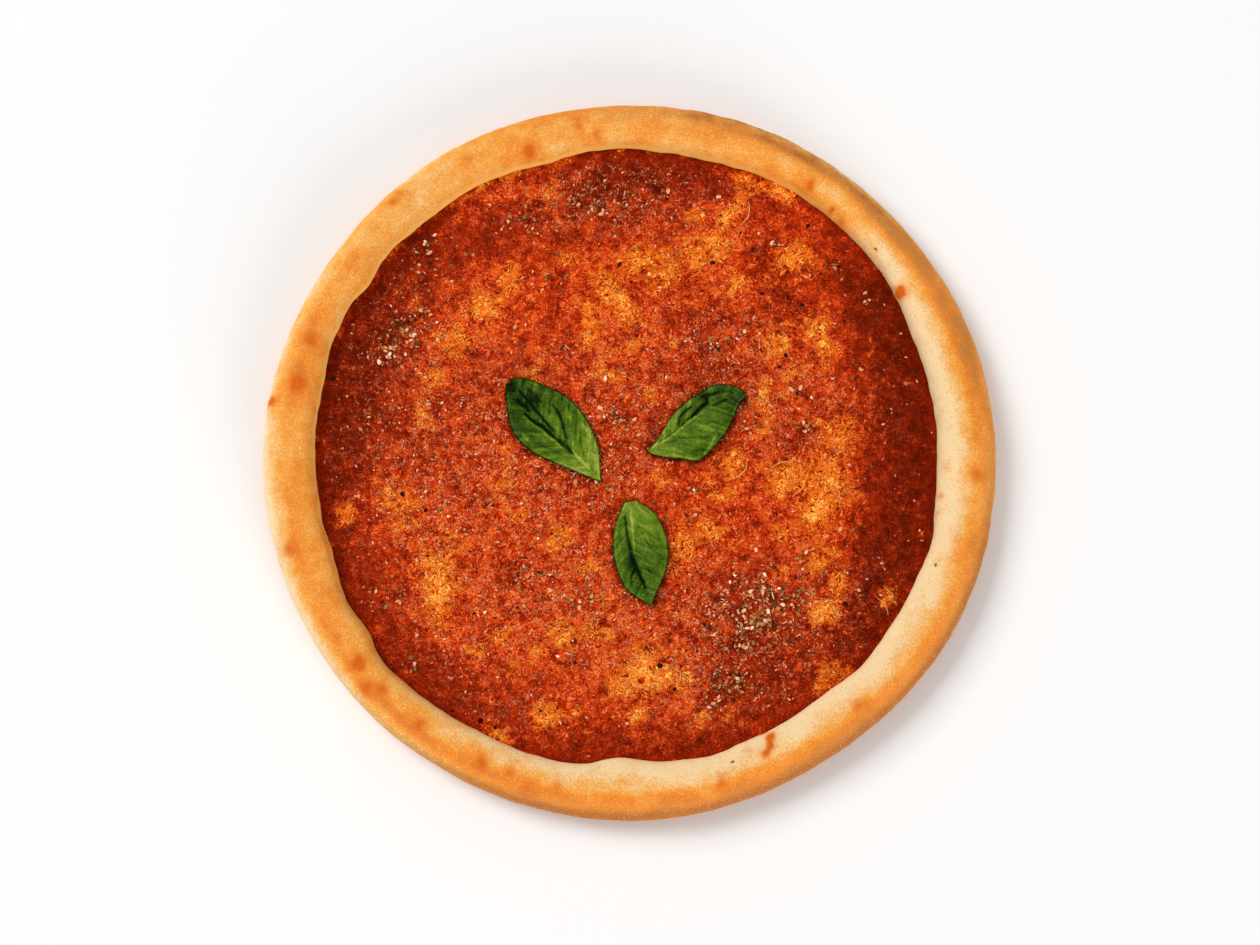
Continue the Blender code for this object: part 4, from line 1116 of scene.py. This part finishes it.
def dry_material(name, stops, roughness):
    """A small dry thing whose shade differs from one piece to the next."""
    material, tree, shader = new_material(name)
    place = add_node(tree, "ShaderNodeTexCoord").outputs["Object"]
    shade = attribute(tree, "shade")
    mottle = noise_value(tree, place, 0.7, 2)
    mixed = weighted(tree, -0.2, (shade, 1.0), (mottle, 0.4))
    tree.links.new(ramp(tree, mixed, stops), shader.inputs["Base Color"])
    shader.inputs["Roughness"].default_value = roughness
    shader.inputs["Specular IOR Level"].default_value = 0.06
    bump = add_node(tree, "ShaderNodeBump", {"Height": mottle, "Strength": 0.4, "Distance": 0.1 * MM})
    tree.links.new(bump.outputs["Normal"], shader.inputs["Normal"])
    return material


class PIZZA_OT_herbs(bpy.types.Operator):
    """Strews dried oregano, pale grit and dark specks over the sauce"""
    bl_idname = "pizza.herbs"
    bl_label = "Oregano and specks"

    def execute(self, context):
        look = context.scene.pizza_herbs
        sauce = context.scene.pizza_topping
        # Dried oregano leaf: papery, olive and brown, with some bleached to cream
        oregano = dry_material("dried_oregano", (
            (0.0, linear("#331406")), (0.22, linear("#6A3D19")), (0.47, look.fresh),
            (0.70, linear("#CF8E5A")),
            (0.90, look.dry), (1.0, linear("#FFE8CC"))), 0.7)
        flakes = [chip(f"oregano_chip_{k}", 1.0, 0.5 + 0.1 * k, 0.14, 0.28, 70 + k) for k in range(3)]
        strew("oregano_flakes", "basil_leaf", flakes, oregano, Where="herbs", Density=look.density,
              Smallest=look.shortest, Largest=look.longest, Tilt=0.55, Rise=0.12 * MM, Seed=sauce.seed)
        stalks = [chip(f"oregano_stalk_{k}", 1.0, 0.14, 0.12, 0.05, 80 + k) for k in range(2)]
        strew("oregano_stalks", "basil_leaf", stalks, oregano, Where="herbs", Density=look.density * 0.08,
              Smallest=2.0 * MM, Largest=4.0 * MM, Tilt=0.15, Rise=0.22 * MM, Seed=sauce.seed + 1)
        # Seeds, skins and crumbs of cheese, dried on the surface: peach to cream slivers
        pale = dry_material("dried_pulp_grains", (
            (0.0, linear("#B03C18")), (0.4, linear("#DC683C")), (0.75, linear("#F69468")),
            (1.0, linear("#FFC8A0"))), 0.5)
        grains = [sliver(f"grain_{k}", 0.34 + 0.10 * k, 0.22, 90 + k) for k in range(3)]
        strew("pulp_grains", "tomato_sauce", grains, pale, Where="grit", Density=sauce.grit_density,
              Smallest=0.8 * MM, Largest=2.0 * MM, Tilt=0.3, Rise=0.10 * MM, Seed=sauce.seed + 2)
        # Scorched pulp and pepper
        burnt = dry_material("scorched_specks", (
            (0.0, linear("#1E0B06")), (0.6, linear("#45170B")), (1.0, linear("#6B2A12"))), 0.6)
        specks = [crumb(f"speck_{k}", 1.0, 0.75, 0.5, 95 + k) for k in range(3)]
        strew("dark_specks", "tomato_sauce", specks, burnt, Where="soot", Density=sauce.soot_density,
              Smallest=0.5 * MM, Largest=1.3 * MM, Tilt=0.4, Rise=0.05 * MM, Seed=sauce.seed + 3)
        self.charred(burnt, sauce)
        self.strays(oregano)
        return {"FINISHED"}

    def charred(self, burnt, sauce):
        """The larger scorched bits, each where the photograph shows it."""
        points, faces, shade = [], [], []
        draw = random.Random(33)
        for number, (x, y, radius) in enumerate(CHARRED):
            bit = crumb(f"charred_{number}", 2 * radius * MM, 1.5 * radius * MM, 0.9 * MM, 100 + number)
            x, y = x + OFF_MIDDLE[0], y + OFF_MIDDLE[1]
            place = np.array([[x * MM, y * MM, 0.0]])
            height = sauce_height(place, sauce_fields(place)[0], sauce.lump)[0]
            turn = (Matrix.Translation((x * MM, y * MM, height))
                    @ Matrix.Rotation(draw.uniform(0, 6.3), 4, "Z"))
            start = len(points)
            points += [turn @ vertex.co for vertex in bit.data.vertices]
            faces += [tuple(start + k for k in face.vertices) for face in bit.data.polygons]
            shade += [draw.uniform(0, 0.4)] * len(bit.data.vertices)
            bpy.data.objects.remove(bit)
        piece = new_piece("charred_bits", [tuple(p) for p in points], faces, burnt, shade=shade)
        settle(piece, "tomato_sauce")

    def strays(self, oregano):
        """The few flakes that lie on the rim, each settled on the crust's surface."""
        crust = bpy.data.objects["baked_crust"].data
        tree = BVHTree.FromPolygons([vertex.co for vertex in crust.vertices],
                                    [tuple(face.vertices) for face in crust.polygons])
        points, faces, shade = [], [], []
        for number, (direction, distance) in enumerate(STRAYS):
            turn = math.radians(direction)
            x = distance * math.cos(turn) + OFF_MIDDLE[0]
            y = distance * math.sin(turn) + OFF_MIDDLE[1]
            spot, normal = tree.ray_cast(Vector((x * MM, y * MM, 0.1)), Vector((0, 0, -1)))[:2]
            flake = chip(f"stray_{number}", 1.9 * MM, 1.0 * MM, 0.2 * MM, 0.2 * MM, 120 + number)
            upright = normal.to_track_quat("Z", "Y").to_matrix().to_4x4()
            laid = Matrix.Translation(spot + normal * 0.12 * MM) @ upright
            start = len(points)
            points += [tuple(laid @ vertex.co) for vertex in flake.data.vertices]
            faces += [tuple(start + k for k in face.vertices) for face in flake.data.polygons]
            shade += [0.35] * len(flake.data.vertices)
            bpy.data.objects.remove(flake)
        piece = new_piece("oregano_on_rim", points, faces, oregano, shade=shade)
        settle(piece, "basil_leaf")


def leaf_frame(leaf):
    """Stem end, unit vector to the tip, unit vector to its right, and length."""
    stem = (np.array(leaf["stem"]) + OFF_MIDDLE) * MM
    along = (np.array(leaf["tip"]) - leaf["stem"]) * MM
    reach = np.hypot(*along)
    along = along / reach
    return stem, along, np.array([along[1], -along[0]]), reach


def between(stations, places):
    """Smooth values at places from 0 to 1 along evenly spaced stations."""
    known = np.array([2 * stations[0] - stations[1], *stations, 2 * stations[-1] - stations[-2]], float)
    span = np.clip(places, 0, 1) * (len(stations) - 1)
    first = np.minimum(span.astype(int), len(stations) - 2)
    part = span - first
    before, low, high, after = (known[first + k] for k in range(4))
    bend = 2 * before - 5 * low + 4 * high - after
    twist = 3 * low - before - 3 * high + after
    return low + part / 2 * (high - before + part * (bend + part * twist))


def nearness(along, beside, reach, lines):
    """How near each point of a leaf, in mm, is to a set of fold lines, from 0 to 1."""
    near = np.zeros(len(along))
    for line, width, strength in lines:
        corners = [(part * reach, place) for part, place in line]
        lengths = np.cumsum([0.0] + [math.dist(a, b) for a, b in zip(corners, corners[1:])])
        for number, (a, b) in enumerate(zip(corners, corners[1:])):
            way = np.array(b) - a
            part = np.clip(((along - a[0]) * way[0] + (beside - a[1]) * way[1]) / (way @ way), 0, 1)
            away = np.hypot(along - a[0] - part * way[0], beside - a[1] - part * way[1])
            run = (lengths[number] + part * math.dist(a, b)) / lengths[-1]
            taper = width * (0.35 + 0.65 * np.sin(math.pi * np.clip(run, 0.02, 0.98)) ** 0.5)
            near = np.maximum(near, strength * np.exp(-(away / taper) ** 2))
    return near


def basil_material(look):
    """Fresh sweet basil: a waxy leaf, yellow-green at its stalk, with painted shade in its creases and
    painted highlights on its ridges.
    """
    material, tree, shader = new_material("fresh_basil_leaf")
    place = add_node(tree, "ShaderNodeTexCoord").outputs["Object"]
    tone = attribute(tree, "tone")
    cloud = noise_value(tree, place, 3.5, 4, 0.65)
    # Pores and fine veins are finer than a pixel; drawn at 0.9 mm so that they show
    cells = noise_value(tree, place, 0.9, 2, 0.6)
    shade = weighted(tree, -0.5 * (0.66 + 0.62), (tone, 1.0), (cloud, 0.66), (cells, 0.62))
    base = ramp(tree, shade, ((0.0, look.young), (0.22, linear("#718922")), (0.45, linear("#4F6E14")),
                              (0.60, look.green), (0.80, linear("#203805")), (1.0, look.dark)))
    tree.links.new(base, shader.inputs["Base Color"])
    shader.inputs["Roughness"].default_value = 0.45
    shader.inputs["Specular IOR Level"].default_value = 0.06
    relief = weighted(tree, 0.0, (cloud, 0.6), (cells, 0.5))
    bump = add_node(tree, "ShaderNodeBump", {"Height": relief, "Strength": 0.5, "Distance": 0.3 * MM})
    tree.links.new(bump.outputs["Normal"], shader.inputs["Normal"])
    return material


class PIZZA_OT_basil(bpy.types.Operator):
    """Makes the three basil leaves, quilted between their veins"""
    bl_idname = "pizza.basil"
    bl_label = "Basil leaves"

    def execute(self, context):
        look = context.scene.pizza_basil
        material = basil_material(look)
        for number, leaf in enumerate(LEAVES, 1):
            self.leaf(number, leaf, look, material)
        return {"FINISHED"}

    def leaf(self, number, leaf, look, material):
        """One leaf: an upper and a lower face on the same grid, joined by a thin rim."""
        stations = np.linspace(0.006, 0.994, LEAF_STEPS + 1)
        lanes = np.linspace(-1, 1, LEAF_LANES + 1)
        station, side = (grid.ravel() for grid in np.meshgrid(stations, lanes, indexing="ij"))
        stem, along, right, reach = leaf_frame(leaf)
        part = (1 - np.cos(math.pi * station)) / 2
        rib = between(leaf["rib"], station)
        edge = np.where(side > 0, between(leaf["right"], station), between(leaf["left"], station))
        beside = rib + np.abs(side) * (edge - rib)
        flat = stem + along * (reach * part)[:, None] + right * (beside * MM)[:, None]
        points = np.column_stack([flat, 0 * part])
        far = reach / MM
        wander = 0.25 * rough(points, 2.5 * MM, 94), 0.25 * rough(points, 2.5 * MM, 95)
        crease = nearness(part * far + wander[0], beside + wander[1], far, leaf["creases"])
        ridge = nearness(part * far + wander[0], beside + wander[1], far, leaf["ridges"])
        # Fine wrinkles run from the midrib outwards, slanting to the tip
        slant = np.column_stack([part * far - 0.9 * np.abs(beside - rib), 0.22 * beside, 0 * part]) * MM
        wrinkle = rough(slant, 1.5 * MM, 97 + number) + 0.5 * rough(slant, 0.8 * MM, 98 + number)
        quilt = LEAF_QUILT * 4 * np.abs(side) * (1 - np.abs(side)) * np.sin(math.pi * part)
        wave = LEAF_WAVE * side ** 2 * (1 + np.cos(math.pi * (LEAF_WAVES * part + side)))
        height = LEAF_LIFT + quilt + wave + leaf["curl"] * MM * part ** 4
        height += look.ridge * ridge - look.crease * crease - 0.16 * MM * wrinkle
        height += 0.22 * MM * rough(points, 3 * MM, 90 + number)
        points[:, 2] = np.maximum(height, LEAF_LIFT - 0.3 * MM)
        count = len(points)
        lower = points.copy()
        upper = points + (0, 0, LEAF_THICKNESS)
        wide = LEAF_LANES + 1
        faces = []
        for row in range(LEAF_STEPS):
            for lane in range(LEAF_LANES):
                a = row * wide + lane
                b, c, d = a + 1, a + wide + 1, a + wide
                faces.append((count + a, count + b, count + c, count + d))
                faces.append((a, d, c, b))
        border = list(range(wide))
        border += [row * wide + wide - 1 for row in range(1, LEAF_STEPS + 1)]
        border += [LEAF_STEPS * wide + lane for lane in range(wide - 2, -1, -1)]
        border += [row * wide for row in range(LEAF_STEPS - 1, 0, -1)]
        for here, after in zip(border, border[1:] + border[:1]):
            faces.append((here, after, count + after, count + here))
        tone = np.interp(part, (0.0, 0.12, 0.5, 1.0), (leaf["tone"][0] - 0.06, *leaf["tone"]))
        # Painted shade in the creases and fine wrinkles, painted highlights on the ridges
        tone += 0.60 * crease - 0.40 * ridge + 0.24 * wrinkle
        for place, offset, long, wide_way, amount in leaf["patches"]:
            tone += amount * np.exp(-((part - place) * far / long) ** 2 - ((beside - offset) / wide_way) ** 2)
        # The thin edge catches the light just inside, and is dark where it turns under
        inset = np.abs(edge - beside)
        tone += -0.12 * np.exp(-((inset - 0.9) / 0.35) ** 2) + 0.50 * np.exp(-(inset / 0.5) ** 2)
        tone = np.tile(tone, 2)
        piece = new_piece(f"basil_leaf_{number}_veined", np.vstack([lower, upper]), faces, material,
                          tone=tone)
        mesh = piece.data
        mesh.set_sharp_from_angle(angle=math.radians(60))
        settle(piece, "basil_leaf", f"basil_leaf_{number}")


class PIZZA_OT_stage(bpy.types.Operator):
    """Makes the pale floor, the soft key light, a low fill light across from it, and the camera"""
    bl_idname = "pizza.stage"
    bl_label = "Floor, light and camera"

    def execute(self, context):
        look = context.scene.pizza_stage
        scene = context.scene
        material, tree, shader = new_material("pale_floor")
        shader.inputs["Base Color"].default_value = rgba(look.floor)
        shader.inputs["Roughness"].default_value = 0.9
        side, below = 4.0, -0.1 * MM
        corners = [(-side, -side, below), (side, -side, below), (side, side, below), (-side, side, below)]
        floor = new_piece("floor", corners, [(0, 1, 2, 3)], material)

        world = bpy.data.worlds.new("white_room")
        world.use_nodes = True
        world.node_tree.nodes["Background"].inputs["Color"].default_value = (1, 1, 1, 1)
        world.node_tree.nodes["Background"].inputs["Strength"].default_value = look.sky
        scene.world = world

        for name, power, size, place, colour in (("key", look.key, 3.2, (-3.8, 2.48, 4.6), "#FFFAF4"),
                                                 ("fill", look.fill, 2.4, (2.2, -3.7, 1.3), "#FFF6EA")):
            light = bpy.data.lights.new(name, "AREA")
            light.energy = power
            light.size = size
            light.color = linear(colour)
            lamp = bpy.data.objects.new(name, light)
            lamp.location = place
            lamp.rotation_euler = (-lamp.location).to_track_quat("-Z", "Y").to_euler()
            scene.collection.objects.link(lamp)

        lens = bpy.data.cameras.new("camera")
        lens.lens = 85
        lens.sensor_width = 36
        camera = bpy.data.objects.new("camera", lens)
        aim = Vector((0.2, -7.35, 9.0)) * MM
        height = math.radians(80)
        away = Vector((0, -math.cos(height), math.sin(height)))
        camera.location = aim + away * 1.26
        camera.rotation_euler = (-away).to_track_quat("-Z", "Y").to_euler()
        scene.collection.objects.link(camera)
        scene.camera = camera
        scene.view_settings.view_transform = "Standard"
        return {"FINISHED"}


class PIZZA_PT_panel(bpy.types.Panel):
    """Lists the pizza's parts and what can be changed in each"""
    bl_label = "Margherita Pizza"
    bl_idname = "PIZZA_PT_panel"
    bl_space_type = "VIEW_3D"
    bl_region_type = "UI"
    bl_category = "Pizza"

    def draw(self, context):
        for step, group in STEPS:
            box = self.layout.box()
            box.operator(step.bl_idname)
            settings = getattr(context.scene, group)
            for key in type(settings).__annotations__:
                box.prop(settings, key)


SETTINGS = {
    "pizza_crust": CrustSettings,
    "pizza_topping": ToppingSettings,
    "pizza_herbs": HerbSettings,
    "pizza_basil": LeafSettings,
    "pizza_stage": StageSettings,
}
STEPS = (
    (PIZZA_OT_crust, "pizza_crust"),
    (PIZZA_OT_sauce, "pizza_topping"),
    (PIZZA_OT_cheese, "pizza_topping"),
    (PIZZA_OT_herbs, "pizza_herbs"),
    (PIZZA_OT_basil, "pizza_basil"),
    (PIZZA_OT_stage, "pizza_stage"),
)
CLASSES = (*SETTINGS.values(), *(step for step, _ in STEPS), PIZZA_PT_panel)


def register():
    for kind in CLASSES:
        bpy.utils.register_class(kind)
    for name, group in SETTINGS.items():
        setattr(bpy.types.Scene, name, PointerProperty(type=group))


def unregister():
    for name in SETTINGS:
        delattr(bpy.types.Scene, name)
    for kind in reversed(CLASSES):
        bpy.utils.unregister_class(kind)


def main():
    register()
    bpy.ops.pizza.stage()
    bpy.ops.pizza.crust()
    bpy.ops.pizza.sauce()
    bpy.ops.pizza.cheese()
    bpy.ops.pizza.herbs()
    bpy.ops.pizza.basil()


if __name__ == "__main__":
    main()
